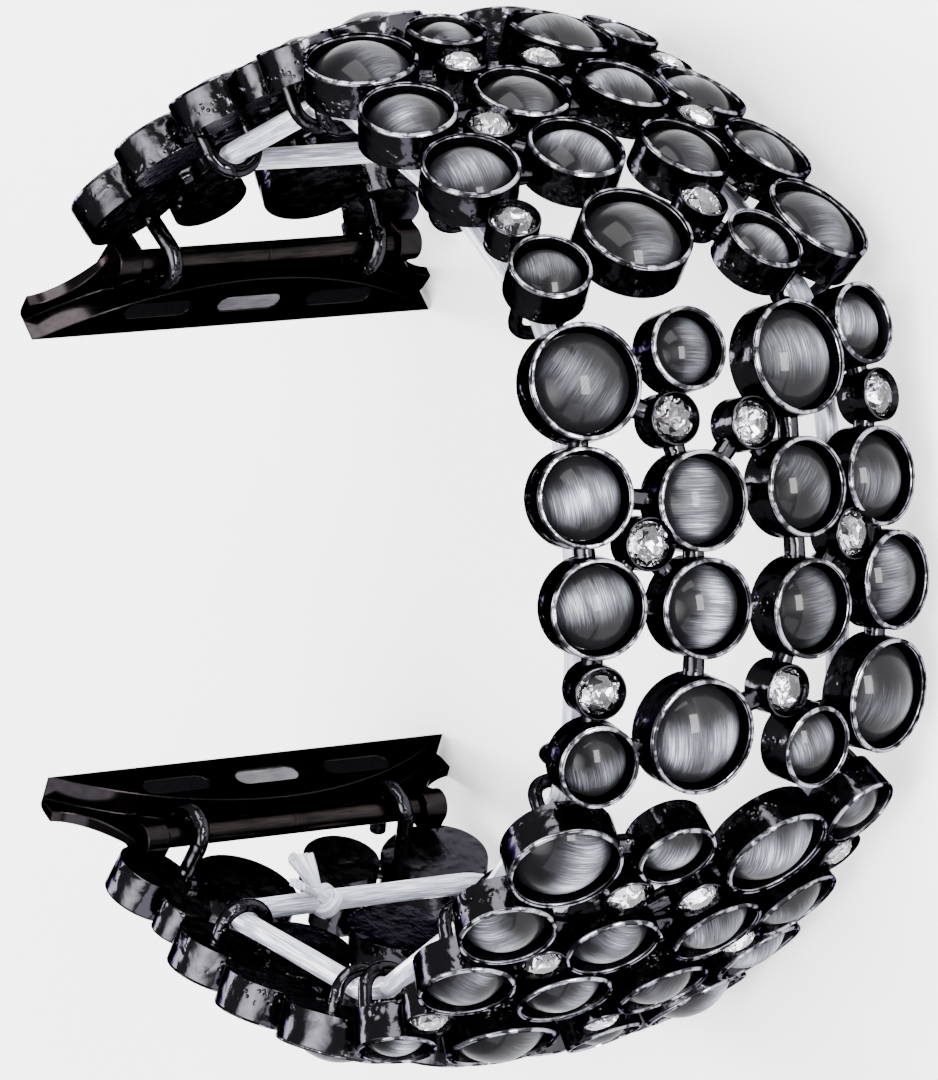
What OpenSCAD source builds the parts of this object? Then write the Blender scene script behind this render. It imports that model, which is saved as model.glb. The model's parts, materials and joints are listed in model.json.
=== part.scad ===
// Stretch watch band: five cast openwork plaques set with round stones, strung on an elastic cord,
// with a sliding adapter at each end. Lengths are in millimetres and angles in degrees.
// The band stands on its long edge: Z is the wrist's axis and the watch gap faces -X.

/* [Band] */
// Turn from the middle plaque to the one above it
upper_flank_turn = 58; // [50:1:60]
// Turn from there to the upper end plaque
upper_end_turn = 55; // [50:1:60]
// Turn from the middle plaque to the one below it
lower_flank_turn = 56; // [50:1:60]
// Turn from there to the lower end plaque
lower_end_turn = 53; // [50:1:60]
// Radius of the plaques' backs along the band
band_radius = 58; // [52:1:64]
// Radius of the plaques' backs across the band
cross_radius = 43; // [38:1:60]
// Gap between neighbouring plaques at their backs
joint_gap = 0.7; // [0.5:0.1:1.2]

/* [Stones] */
// Mean distance between the columns of stones
column_pitch = 7; // [6.8:0.1:7.4]
// Diameter of the large cabochons
large_stone = 6; // [5.4:0.1:6.4]
// Diameter of the medium cabochons
medium_stone = 5; // [4.6:0.1:5.3]
// Diameter of the small cabochons
small_stone = 4; // [3.6:0.1:4.3]
// Diameter of the faceted crystals
crystal_stone = 2.7; // [2.4:0.1:2.8]
// Height of the straight edge of a cabochon
girdle_height = 0.7; // [0.5:0.1:0.9]
// Rise of a cabochon's dome as a share of its diameter
dome_share = 0.27; // [0.2:0.01:0.32]
// Height of a crystal above its seat
crystal_height = 1.5; // [1.3:0.1:1.7]
// Number of main facets round a crystal's crown
crystal_facets = 8; // [6:1:10]

/* [Cups] */
// Wall of the cups that hold the cabochons
cup_wall = 0.5; // [0.4:0.05:0.65]
// Wall of the cups that hold the crystals
crystal_wall = 0.25; // [0.2:0.05:0.35]
// Height of the cups
cup_height = 2.5; // [2.2:0.1:3]
// Height of the crystals' cups
crystal_cup_height = 2.3; // [2:0.1:2.6]
// Floor under the stones
cup_floor = 0.9; // [0.7:0.1:1.1]
// Clearance round a stone in its cup
stone_clearance = 0.05; // [0.03:0.01:0.08]
// Share of a cup's wall that is left at its rim, where the pocket has widened
rim_share = 0.45; // [0.4:0.05:0.8]
// Radius of the rounded rim
rim_round = 0.15; // [0.1:0.05:0.2]
// Widest gap that a web bridges between two cups
web_reach = 1.3; // [1:0.1:1.6]
// Diameter of the rounded webs between cups
web_d = 1.3; // [1:0.1:1.6]

/* [Eyelets] */
// Diameter of the wire that the eyelets are cast as
eyelet_wire = 0.9; // [0.7:0.1:1.1]
// Width of an eyelet
eyelet_width = 4.4; // [4:0.1:4.8]
// Height of an eyelet above the plaque's back
eyelet_height = 3.5; // [3.2:0.1:3.9]
// Distance of the eyelets from the band's middle line
eyelet_side = 10.3; // [9.8:0.1:10.8]
// Distance of an eyelet from the end of the large cup that carries it
large_inset = 1.6; // [1.5:0.1:2]
// Distance of an eyelet from the end of the small cup that carries it
small_inset = 2.2; // [2.1:0.1:2.5]
// Distance of a middle eyelet from the middle of its cup
middle_offset = 1.1; // [0.8:0.1:1.3]

/* [Elastic] */
// Diameter of the elastic cord
elastic_d = 1.4; // [1.1:0.1:1.5]
// Clearance between the cord and an eyelet's arch
elastic_clearance = 0.12; // [0.1:0.01:0.2]
// Gap between the cord of a plaque and the stretch that crosses a joint
bridge_gap = 0.45; // [0.45:0.01:0.5]
// Further gap on the side where the band curls
curl_gap = 0.17; // [0.1:0.01:0.2]
// Distance from a middle eyelet to the cord that crosses behind an end plaque
cross_offset = 1.7; // [1.6:0.1:2]
// Diameter of the knot
knot_d = 2.9; // [2.6:0.1:3.2]
// Place of the knot across the band
knot_side = 3; // [2:0.5:5]

/* [Adapters] */
// Length of an adapter across the band
adapter_length = 31; // [29:0.2:32]
// Tilt of the upper adapter towards the wrist
upper_tilt = 3; // [0:1:6]
// Tilt of the lower adapter towards the wrist
lower_tilt = -1; // [-1:1:6]
// Distance from the spring bar to the adapter's leading edge
adapter_reach = 6.8; // [6.4:0.1:7.6]
// Thickness of the rail that slides into a watch
rail_thickness = 2.5; // [2.2:0.1:2.7]
// Depth of the rail's curved back edge
rail_bow = 5; // [4:0.1:5.4]
// Thickness of the skin behind the rail
skin_thickness = 0.8; // [0.6:0.1:1]
// Radius of the adapter's outer face
skin_radius = 12; // [10:1:20]
// Length of the latch button
button_length = 4.7; // [4:0.1:5.4]
// Width of the latch button
button_width = 1.4; // [1.2:0.1:1.6]
// Height of the latch button
button_height = 0.8; // [0.7:0.1:0.9]
// Travel of the latch button
button_travel = 0.5; // [0.4:0.1:0.6]
// Length of the pads in the rail's face
pad_length = 5; // [4:0.1:5.6]
// Width of the pads in the rail's face
pad_width = 1.5; // [1.3:0.1:1.7]
// Depth of the pads' recesses
pad_depth = 0.6; // [0.4:0.1:0.8]
// Distance of the pads from the adapter's middle
pad_side = 7; // [6:0.1:8]
// Radius of the rounded corners at the leading edge
tip_round = 1.2; // [0.8:0.1:1.6]
// Radius of the hollow curve from an ear to the end of the rail
flare_r = 4.6; // [4:0.1:5.4]

/* [Spring bars] */
// Distance between the ears that hold a spring bar
lug_width = 20; // [18:0.5:20.5]
// Thickness of the ears
ear_thickness = 1.6; // [1.4:0.1:1.8]
// Diameter of the spring bar's tube
bar_d = 1.5; // [1.4:0.1:1.6]
// Diameter of the spring bar's tips
tip_d = 0.8; // [0.7:0.1:0.9]
// Depth of the tips in the ears
tip_depth = 0.9; // [0.7:0.1:1.1]
// Running clearance of the tips and plungers
fit_clearance = 0.04; // [0.02:0.01:0.06]
// Height of the spring bar above the plaque's back
bar_height = 2.4; // [2.3:0.05:2.7]
// Distance of the spring bar from the plaque's end
bar_inset = 1.9; // [1.6:0.1:2.4]
// Diameter of the wire that the end rings are cast as
ring_wire = 1.1; // [0.9:0.1:1.2]
// Width of the end rings
ring_width = 4.3; // [4.1:0.1:4.6]
// Distance of the end rings from the band's middle line
ring_side = 8.6; // [8:0.1:9]

/* [Hidden] */
$fn = 48;

// Kinds of stone
LARGE = 0;
MEDIUM = 1;
SMALL = 2;
CRYSTAL = 3;
stone_d = [large_stone, medium_stone, small_stone, crystal_stone];
function wall(kind) = kind == CRYSTAL ? crystal_wall : cup_wall;
function cup_r(kind) = stone_d[kind] / 2 + stone_clearance + wall(kind);
function top(kind) = kind == CRYSTAL ? crystal_cup_height : cup_height;

// Each column runs down the band: its middle line, where it starts, and its stones as
// [kind, shift to the side, gap to the cup before it]
column_u = [-10.4, -3.7, 3.8, 10.2];
column_start = [-13.7, -14, -14, -14.8];
drawn_pitch = 7;
spread = column_pitch / drawn_pitch;
columns = [
    [[LARGE, 0.2, 0], [MEDIUM, -0.6, 0.15], [MEDIUM, -0.1, 0.45], [CRYSTAL, 0.1, 0.3], [SMALL, 0.2, 0.2]],
    [[SMALL, 0.2, 0], [CRYSTAL, -1.2, -0.25], [MEDIUM, 0, 0.15], [MEDIUM, 0, 0.12], [LARGE, -0.1, 0.9]],
    [[LARGE, 0.3, 0], [CRYSTAL, -3.5, -1.6], [MEDIUM, -0.2, -0.75], [MEDIUM, -0.1, 1], [CRYSTAL, -1.7, 0],
        [SMALL, 0.7, -0.6]],
    [[SMALL, -0.4, 0], [CRYSTAL, 0.4, 0.1], [MEDIUM, -0.5, 0.15], [MEDIUM, 0.5, 0.2], [LARGE, 0, 0.35]]
];
// Crystals that sit between two columns: [column before it, shift to the side, place down the band]
between = [[0, -0.1, -0.4], [2, 0.3, 0.1]];

// Place down the band of stone k in column c, measured from the plaque's middle
function place_v(c, k) =
    (k == 0 ? spread * column_start[c] : place_v(c, k - 1) + cup_r(columns[c][k - 1][0]))
    + spread * columns[c][k][2] + cup_r(columns[c][k][0]);
stones = concat(
    [for (c = [0:3]) for (k = [0:len(columns[c]) - 1])
        [columns[c][k][0], spread * (column_u[c] + columns[c][k][1]), place_v(c, k)]],
    [for (b = between)
        [CRYSTAL, spread * ((column_u[b[0]] + column_u[b[0] + 1]) / 2 + b[1]), spread * b[2]]]
);
cabochons = [for (s = stones) if (s[0] != CRYSTAL) s];
crystals = [for (s = stones) if (s[0] == CRYSTAL) s];

// Plaque ends, and the pitch from joint to joint
plaque_end = max([for (s = stones) s[2] + cup_r(s[0])]);
plaque_start = min([for (s = stones) s[2] - cup_r(s[0])]);
column_length = [for (c = [0:3]) let (n = len(columns[c]) - 1)
    place_v(c, n) + cup_r(columns[c][n][0]) - spread * column_start[c]];
half_pitch = (max(column_length) + joint_gap) / 2;
half_turn = half_pitch / band_radius * 180 / PI;
// Middle of the pattern, which the joints are centred on
mid_v = (plaque_end + plaque_start) / 2 + 0.2 * spread;

function dir(a) = [cos(a), sin(a), 0];
plaque_angle = [0, upper_flank_turn + upper_end_turn, upper_flank_turn, 0, -lower_flank_turn,
    -lower_flank_turn - lower_end_turn];
// Centre of the arc that a plaque's back follows
function centre(i) =
    i == 3 ? [0, 0, 0]
    : i > 3 ? centre(i - 1)
        + band_radius * (dir(plaque_angle[i - 1] - half_turn) - dir(plaque_angle[i] + half_turn))
    : centre(i + 1)
        + band_radius * (dir(plaque_angle[i + 1] + half_turn) - dir(plaque_angle[i] - half_turn));
// The joint between plaque i and the next
function joint(i) = centre(i) + band_radius * dir(plaque_angle[i] - half_turn);

// Distance from a plaque's arc centre, and height, of a point at u across the band and h above the back
function lean(u) = u / cross_radius * 180 / PI;
function rho(u, h) = band_radius - cross_radius + (cross_radius + h) * cos(lean(u));
function zeta(u, h) = -(cross_radius + h) * sin(lean(u));
function along(v) = (mid_v - v) / band_radius * 180 / PI;
function on_back(i, u, v, h) =
    centre(i) + rho(u, h) * dir(plaque_angle[i] + along(v)) + [0, 0, zeta(u, h)];

// Spring bars and adapters
bar_v = [plaque_start + bar_inset, plaque_end - bar_inset];
bar_rho = rho(ring_side, -bar_height);
ring_z = -zeta(ring_side, -bar_height);
upper_bar = centre(1) + bar_rho * dir(plaque_angle[1] + along(bar_v[0]));
lower_bar = centre(5) + bar_rho * dir(plaque_angle[5] + along(bar_v[1]));
upper_adapter_angle = plaque_angle[1] + along(bar_v[0]) + 90 + upper_tilt;
lower_adapter_angle = plaque_angle[5] + along(bar_v[1]) - 90 - lower_tilt;

// A cabochon's dome: its rise above the straight edge, and the radius of its sphere
function rise(d) = d * dome_share;
function dome_r(d) = (d * d / 4 + rise(d) * rise(d)) / (2 * rise(d));

// How far stone s of plaque i and its cup reach along X (axis 0) or Y (axis 1), up (1) or down (-1)
function reach(i, s, axis, way) =
    let (
        angle = plaque_angle[i] + along(s[2]),
        slope = cos(lean(s[1])) * (axis == 0 ? cos(angle) : sin(angle)),
        d = stone_d[s[0]],
        dome_h = cup_floor + girdle_height + rise(d) - dome_r(d),
        cup = way * on_back(i, s[1], s[2], top(s[0]) - rim_round)[axis]
            + cup_r(s[0]) * sqrt(1 - slope * slope),
        dome = way * on_back(i, s[1], s[2], dome_h)[axis] + dome_r(d)
    )
    s[0] != CRYSTAL && way * slope > 0.7 ? max(cup, dome) : cup;

// The whole band's box, so that it stands centred on the floor
rail_half = rail_thickness / 2;
nose_r = rail_half - 0.05;
nose_x = min(upper_bar[0] + (adapter_reach - nose_r) * cos(upper_adapter_angle),
    lower_bar[0] + (adapter_reach - nose_r) * cos(lower_adapter_angle)) - rail_half;
crown_x = max([for (s = stones) reach(3, s, 0, 1)]);
high_y = max([for (i = [1, 2]) for (s = stones) reach(i, s, 1, 1)]);
deep_y = max([for (i = [4, 5]) for (s = stones) reach(i, s, 1, -1)]);
rim_z = min([for (s = stones) zeta(s[1], top(s[0])) - cup_r(s[0]) * cos(lean(s[1]))]);
low_z = min(rim_z, -adapter_length / 2);
shift = [-(nose_x + crown_x) / 2, (deep_y - high_y) / 2, -low_z];

// Places a plaque, with its arc's centre at the origin and its back facing it
module place_plaque(i) {
    translate(centre(i) + shift) rotate([0, 0, plaque_angle[i]]) children();
}

// Stands a piece on a plaque's back: X is across the band, -Y is down the band and Z is outwards
module stand(u, v) {
    rotate([0, 0, along(v)]) translate([band_radius - cross_radius, 0, 0]) rotate([0, lean(u), 0])
        translate([cross_radius, 0, 0]) rotate([0, 90, 0]) children();
}

// Outside of a cup, with a rounded rim
module cup_outside(kind) {
    r = cup_r(kind);
    h = top(kind);
    rotate_extrude() {
        square([r, h - rim_round]);
        square([r - rim_round, h]);
        translate([r - rim_round, h - rim_round]) circle(rim_round, $fn = 16);
    }
}

// Pocket that a stone sits in: straight round the stone's edge, then wider towards the rim
module cup_pocket(kind) {
    r = stone_d[kind] / 2 + stone_clearance;
    straight = cup_floor + girdle_height / 2;
    flare = top(kind) - straight;
    widening = (1 - rim_share) * wall(kind);
    translate([0, 0, cup_floor]) cylinder(r = r, h = cup_height);
    translate([0, 0, straight]) cylinder(r1 = r, r2 = r + 1.2 * widening, h = 1.2 * flare);
}

// Distance between the middles of two cups on the back
function apart(a, b) = norm([a[1] - b[1], a[2] - b[2]]);

// Longest distance between two cups' middles that a web bridges
function web_span(a, b) = spread * (cup_r(a[0]) + cup_r(b[0]) + web_reach);

// Rounded web between the cups of stones a and b, from middle to middle
module web(a, b) {
    length = apart(a, b);
    turn = atan2(a[2] - b[2], b[1] - a[1]);
    stand((a[1] + b[1]) / 2, (a[2] + b[2]) / 2)
        rotate([0, 90, turn]) translate([-web_d / 2 - web_lift, 0, -length / 2])
            cylinder(d = web_d, h = length, $fn = 24);
}
web_lift = 0.15;
arch_root = 0.4;

// Arch of cast wire that stands inwards from the back, with its legs rooted in the cups
module arch(width, height, wire) {
    mean_r = (width - wire) / 2;
    leg = height - width / 2;
    translate([0, 0, -leg]) {
        rotate([-90, 0, 0]) rotate_extrude(angle = 180) translate([mean_r, 0]) circle(d = wire, $fn = 24);
        for (side = [-1, 1])
            translate([side * mean_r, 0, 0]) cylinder(d = wire, h = leg + arch_root, $fn = 24);
    }
}

// Arch that the cord runs through
module eyelet() {
    arch(eyelet_width, eyelet_height, eyelet_wire);
}

// Arch round the spring bar
module end_ring() {
    rotate([0, 0, 90]) arch(ring_width, bar_height + ring_width / 2, ring_wire);
}

// Where the eyelets stand: the cups that carry them, as places down the band
near_start_v = place_v(0, 0) - cup_r(LARGE) + large_inset;
near_mid_v = place_v(0, 2) - middle_offset;
near_end_v = place_v(0, 4) + cup_r(SMALL) - small_inset;
far_start_v = place_v(3, 0) - cup_r(SMALL) + small_inset;
far_mid_v = place_v(3, 3) - middle_offset;
far_end_v = place_v(3, 4) + cup_r(LARGE) - large_inset;
near_v = [near_start_v, near_mid_v, near_end_v];
far_v = [far_start_v, far_mid_v, far_end_v];

// Whether plaque i has eyelets at its start, middle and end, or rings there
function has_eyelet(i, k) = !((i == 1 && k == 0) || (i == 5 && k == 2));

module casting(i) {
    color("#37373b") place_plaque(i) difference() {
        union() {
            for (s = stones) stand(s[1], s[2]) cup_outside(s[0]);
            for (a = [0:len(stones) - 2]) for (b = [a + 1:len(stones) - 1])
                if (apart(stones[a], stones[b]) < web_span(stones[a], stones[b]))
                    web(stones[a], stones[b]);
            for (k = [0:2]) if (has_eyelet(i, k)) {
                stand(-eyelet_side, near_v[k]) eyelet();
                stand(eyelet_side, far_v[k]) eyelet();
            }
            for (side = [-1, 1]) {
                if (i == 1) stand(side * ring_side, bar_v[0]) end_ring();
                if (i == 5) stand(side * ring_side, bar_v[1]) end_ring();
            }
        }
        for (s = stones) stand(s[1], s[2]) cup_pocket(s[0]);
    }
}

// Domed stone with a straight edge
module cabochon(d) {
    intersection() {
        cylinder(d = d, h = girdle_height + rise(d));
        translate([0, 0, girdle_height + rise(d) - dome_r(d)]) sphere(dome_r(d), $fn = 64);
    }
}

module cabochon_set(i) {
    color("#7d7d84") place_plaque(i)
        for (s = cabochons) stand(s[1], s[2]) translate([0, 0, cup_floor]) cabochon(stone_d[s[0]]);
}

// Faceted crystal: a girdle, a crown that tapers to its table, and a short lower half
module crystal() {
    crown = 0.5;
    r = crystal_stone / 2;
    cylinder(r = r, h = crystal_height - crown, $fn = crystal_facets);
    translate([0, 0, crystal_height - crown])
        linear_extrude(crown, scale = 0.58) circle(r, $fn = crystal_facets);
}

module crystal_set(i) {
    color("#e6e6ee") place_plaque(i)
        for (s = crystals) stand(s[1], s[2]) translate([0, 0, cup_floor]) crystal();
}

// Tube swept along points, one ring at each point, with the given number of sides
function unit(p) = p / norm(p);
function heading(p, k) =
    k == 0 ? unit(p[1] - p[0])
    : k == len(p) - 1 ? unit(p[k] - p[k - 1])
    : unit(unit(p[k + 1] - p[k]) + unit(p[k] - p[k - 1]));
module tube(p, r, sides, up = [0, 0, 1]) {
    rings = [for (k = [0:len(p) - 1]) let (t = heading(p, k), x = unit(cross(up, t)), y = cross(t, x))
        for (j = [0:sides - 1]) p[k] + r * (cos(j * 360 / sides) * x + sin(j * 360 / sides) * y)];
    walls = [for (k = [0:len(p) - 2]) for (j = [0:sides - 1])
        let (a = k * sides + j, b = k * sides + (j + 1) % sides)
        each [[a, b, a + sides], [b, b + sides, a + sides]]];
    last = (len(p) - 1) * sides;
    caps = [for (j = [1:sides - 2]) each [[0, j + 1, j], [last, last + j, last + j + 1]]];
    polyhedron(rings, [for (f = concat(walls, caps)) [f[0], f[2], f[1]]]);
}

// The cord runs under the eyelets' arches
cord_depth = -(eyelet_height - eyelet_wire - elastic_d / 2 - elastic_clearance);
cord_sides = 8;
run_over = eyelet_wire / 2 + 0.1;
cross_low = 0.3;
cross_dip = 1.2;
function run_point(i, side, v) = on_back(i, side * eyelet_side, v, cord_depth) + shift;
function near_run(i, from, to) = [run_point(i, -1, from), run_point(i, -1, near_mid_v), run_point(i, -1, to)];
function far_run(i, from, to) = [run_point(i, 1, from), run_point(i, 1, far_mid_v), run_point(i, 1, to)];

// Cord that runs along one side of an end plaque, through the middle eyelet, across the plaque's
// back and along the other side
function loop_points(i, from_near, from_far) =
    let (s = from_near > 0 ? 1 : -1, turn_v = s * cross_offset, soft = elastic_d / 2)
    [
        run_point(i, -1, from_near),
        run_point(i, -1, near_mid_v - s * eyelet_wire / 2),
        on_back(i, -eyelet_side + soft / 2, near_mid_v - turn_v + s * soft / 2, cord_depth) + shift,
        on_back(i, -eyelet_side + 2 * soft, near_mid_v - turn_v, cord_depth - cross_low) + shift,
        on_back(i, 0, (near_mid_v + far_mid_v) / 2 - turn_v, cord_depth - cross_dip) + shift,
        on_back(i, eyelet_side - 2 * soft, far_mid_v - turn_v, cord_depth - cross_low) + shift,
        on_back(i, eyelet_side - soft / 2, far_mid_v - turn_v + s * soft / 2, cord_depth) + shift,
        run_point(i, 1, far_mid_v - s * eyelet_wire / 2),
        run_point(i, 1, from_far)
    ];

// The cord of one end plaque, given its radius
module end_run(i, r) {
    near_v = i == 1 ? near_end_v + run_over : near_start_v - run_over;
    far_v = i == 1 ? far_end_v + run_over : far_start_v - run_over;
    tube(loop_points(i, near_v, far_v), r, cord_sides);
}

module elastic_run(i) {
    color("#f2f2f0") {
        if (i == 1 || i == 5) end_run(i, elastic_d / 2);
        else {
            tube(near_run(i, near_start_v - run_over, near_end_v + run_over), elastic_d / 2, cord_sides);
            tube(far_run(i, far_start_v - run_over, far_end_v + run_over), elastic_d / 2, cord_sides);
        }
    }
}

// Stretches of the cord that cross the joint between plaque i and the next. The one of the two
// plaques that is nearer to plaque 3 turns against them.
module elastic_bridge(i) {
    before = bridge_gap + (i > 2 ? curl_gap : 0);
    after = bridge_gap + (i > 2 ? 0 : curl_gap);
    color("#f2f2f0") for (side = [-1, 1]) {
        a = run_point(i, side, (side < 0 ? near_end_v : far_end_v) + run_over);
        b = run_point(i + 1, side, (side < 0 ? near_start_v : far_start_v) - run_over);
        t = unit(b - a);
        tube([a + before * t, b - after * t], elastic_d / 2, cord_sides);
    }
}

// Knot in the cord behind plaque 5, with three cut ends
module knot() {
    tuft_length = 3.4;
    tuft_root = 0.45;
    tuft_tip = 0.9;
    color("#f2f2f0") difference() {
        place_plaque(5) stand(-knot_side, (near_mid_v + far_mid_v) / 2 + cross_offset)
            translate([0, 0, cord_depth - 1.1]) rotate([180, 0, 0]) {
                sphere(d = knot_d, $fn = 24);
                for (turn = [100, 150, 200])
                    rotate([0, 65, turn]) cylinder(h = tuft_length, r1 = tuft_root, r2 = tuft_tip, $fn = 16);
            }
        end_run(5, elastic_d / 2 + 0.06);
    }
}

// Places an adapter: X runs from the bar to the leading edge, Y faces the wrist, Z is along the bar
module place_adapter(upper) {
    bar = upper ? upper_bar : lower_bar;
    angle = upper ? upper_adapter_angle : lower_adapter_angle;
    translate(bar + shift) rotate([0, 0, angle]) mirror([0, upper ? 0 : 1, 0]) children();
}

ear_r = 1.15;
ear_root = 3.4;
tail = 0.9;
skin_start = bar_d / 2 + 0.4;
ring_gap = 0.3;
bow_x = adapter_reach - 0.6;
bow_r = (adapter_length * adapter_length / 4 + rail_bow * rail_bow) / (2 * rail_bow);
button_x = (adapter_reach - 0.6) - rail_bow / 2;

// Outline of the rail in the plane across the bar
module rail_profile() {
    square_x = adapter_reach - nose_r;
    intersection() {
        union() {
            translate([-tail, -rail_half]) square([square_x + tail, rail_thickness]);
            translate([square_x, 0]) circle(rail_half);
        }
        translate([adapter_reach / 2, skin_radius - rail_half]) circle(skin_radius, $fn = 96);
    }
}

// Rounds the two corners at the leading edge off a plan
module round_tips() {
    difference() {
        children();
        for (side = [-1, 1]) scale([1, side])
            translate([adapter_reach - tip_round, adapter_length / 2 - tip_round]) difference() {
                square(tip_round + 1);
                circle(tip_round);
            }
    }
}

// D-shaped plan of the rail, seen along the face's normal
module rail_plan() {
    round_tips() intersection() {
        translate([bow_x - rail_bow, -adapter_length / 2]) square([rail_bow + 1, adapter_length]);
        translate([bow_x - rail_bow + bow_r, 0]) circle(bow_r, $fn = 120);
    }
}

// Plan of the skin behind the rail, which sweeps from the ears out to the rail's ends
module skin_plan() {
    ear_end = lug_width / 2 + ear_thickness;
    round_tips() difference() {
        translate([-tail, -adapter_length / 2]) square([adapter_reach + tail, adapter_length]);
        translate([-tail - 1, -lug_width / 2]) square([tail + 1 + skin_start, lug_width]);
        for (side = [-1, 1]) translate([0, side * (ear_end + flare_r)]) {
            circle(flare_r, $fn = 96);
            translate([-tail - 1, side > 0 ? -flare_r : -1]) square([tail + 1, flare_r + 1]);
        }
    }
}

// Outline of an ear across the bar: round at the bar, falling to the skin behind the rail
module ear_profile() {
    circle(ear_r);
    polygon([[0, ear_r], [ear_root, skin_thickness - rail_half], [ear_root, 0.05 - rail_half],
        [-tail, 0.05 - rail_half], [-ear_r, 0]]);
}

// Room for an end ring, which leans with the plaque's back while the adapter swings round it
module ring_room() {
    r = ring_width / 2 + ring_gap;
    width = ring_wire + 2 * ring_gap + ring_width * sin(lean(ring_side));
    for (side = [-1, 1]) translate([0, 0, side * ring_z - width / 2]) {
        cylinder(r = r, h = width);
        translate([-r, -r - 1, 0]) cube([2 * r, r + 1, width]);
    }
}

// Rounded slot through the rail's face
module pill(length, width, height) {
    for (side = [-1, 1]) translate([0, 0, side * (length - width) / 2])
        rotate([-90, 0, 0]) cylinder(d = width, h = height, $fn = 32);
    translate([-width / 2, 0, -(length - width) / 2]) cube([width, height, length - width]);
}

module adapter_body(upper) {
    ear_in = lug_width / 2;
    button_room = button_height + button_travel + 0.05;
    color("#121214") place_adapter(upper) difference() {
        union() {
            intersection() {
                translate([0, 0, -adapter_length / 2]) linear_extrude(adapter_length) rail_profile();
                rotate([-90, 0, 0]) translate([0, 0, -rail_half]) linear_extrude(rail_thickness) rail_plan();
            }
            intersection() {
                translate([0, 0, -adapter_length / 2]) linear_extrude(adapter_length) intersection() {
                    rail_profile();
                    translate([-tail, -rail_half]) square([adapter_reach + tail, skin_thickness]);
                }
                rotate([-90, 0, 0]) translate([0, 0, -rail_half]) linear_extrude(rail_thickness) skin_plan();
            }
            for (side = [-1, 1]) translate([0, 0, side > 0 ? ear_in : -ear_in - ear_thickness])
                linear_extrude(ear_thickness) ear_profile();
        }
        ring_room();
        for (side = [-1, 1])
            translate([0, 0, side > 0 ? ear_in - 0.5 : -ear_in - tip_depth - 0.1])
                cylinder(r = tip_d / 2 + fit_clearance, h = tip_depth + 0.6, $fn = 32);
        translate([button_x, rail_half - button_room, 0])
            pill(button_length + 2 * fit_clearance, button_width + 2 * fit_clearance, button_room + 1);
        for (side = [-1, 1]) translate([button_x, rail_half - pad_depth, side * pad_side])
            pill(pad_length, pad_width, pad_depth + 1);
    }
}

module adapter_pads(upper) {
    sunk = 0.06;
    color("#1c1c1e") place_adapter(upper)
        for (side = [-1, 1]) translate([button_x, rail_half - pad_depth, side * pad_side])
            pill(pad_length - 0.04, pad_width - 0.04, pad_depth - sunk);
}

module latch_button(upper) {
    sunk = 0.03;
    color("#8c8884") place_adapter(upper)
        translate([button_x, rail_half - button_height - sunk, 0]) difference() {
            pill(button_length, button_width, button_height);
            translate([0, -0.1, 0]) rotate([-90, 0, 0]) cylinder(d = latch_spring_d + 0.1, h = 0.4, $fn = 32);
        }
}
latch_spring_d = 0.9;

// Helical spring along Z
module spring(length, d, wire, turns) {
    steps = 8;
    points = [for (k = [0:turns * steps])
        [(d - wire) / 2 * cos(k * 360 / steps), (d - wire) / 2 * sin(k * 360 / steps),
            wire / 2 + (length - wire) * k / (turns * steps)]];
    tube(points, wire / 2, 5, [0, 0, 1]);
}

module latch_spring(upper) {
    room = button_travel + 0.05 + 0.28;
    color("#b0b0b4") place_adapter(upper)
        translate([button_x, rail_half - button_height - button_travel - 0.05, 0]) rotate([-90, 0, 0])
            spring(room, latch_spring_d, 0.12, 2);
}

// Spring bar: a tube with closed-in ends, two plungers and a spring between them
bar_bore = bar_d - 0.36;
bar_end_gap = 0.3;
bar_lip = 0.3;
bar_half = lug_width / 2 - bar_end_gap;
plunger_head = 1.6;

module bar_tube(upper) {
    groove = 0.1;
    color("#2a2a2c") place_adapter(upper) difference() {
        translate([0, 0, -bar_half]) cylinder(d = bar_d, h = 2 * bar_half);
        translate([0, 0, -bar_half + bar_lip]) cylinder(d = bar_bore, h = 2 * (bar_half - bar_lip));
        translate([0, 0, -bar_half - 1]) cylinder(d = tip_d + 2 * fit_clearance, h = 2 * bar_half + 2);
        rotate_extrude() translate([bar_d / 2 - 0.06, -groove / 2]) square([1, groove]);
    }
}

// side is 1 at the near end, which is up, and -1 at the far end
module bar_plunger(upper, side) {
    color("#8c8c90") place_adapter(upper) mirror([0, 0, side > 0 ? 0 : 1]) {
        head_top = bar_half - bar_lip - 0.05;
        translate([0, 0, head_top - plunger_head])
            cylinder(d = bar_bore - 2 * fit_clearance, h = plunger_head);
        translate([0, 0, head_top - 0.1]) cylinder(d = tip_d, h = lug_width / 2 + tip_depth - head_top + 0.1);
    }
}

module bar_spring(upper) {
    reach = bar_half - bar_lip - 0.05 - plunger_head - 0.02;
    color("#b0b0b4") place_adapter(upper)
        translate([0, 0, -reach]) spring(2 * reach, bar_bore - 0.14, 0.16, 16);
}

casting(1);  // plaque_1_casting
casting(2);  // plaque_2_casting
casting(3);  // plaque_3_casting
casting(4);  // plaque_4_casting
casting(5);  // plaque_5_casting
cabochon_set(1);  // plaque_1_cabochons
cabochon_set(2);  // plaque_2_cabochons
cabochon_set(3);  // plaque_3_cabochons
cabochon_set(4);  // plaque_4_cabochons
cabochon_set(5);  // plaque_5_cabochons
crystal_set(1);  // plaque_1_rhinestones
crystal_set(2);  // plaque_2_rhinestones
crystal_set(3);  // plaque_3_rhinestones
crystal_set(4);  // plaque_4_rhinestones
crystal_set(5);  // plaque_5_rhinestones
elastic_run(1);  // elastic_run_1
elastic_run(2);  // elastic_run_2
elastic_run(3);  // elastic_run_3
elastic_run(4);  // elastic_run_4
elastic_run(5);  // elastic_run_5
elastic_bridge(1);  // elastic_bridge_12
elastic_bridge(2);  // elastic_bridge_23
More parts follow.
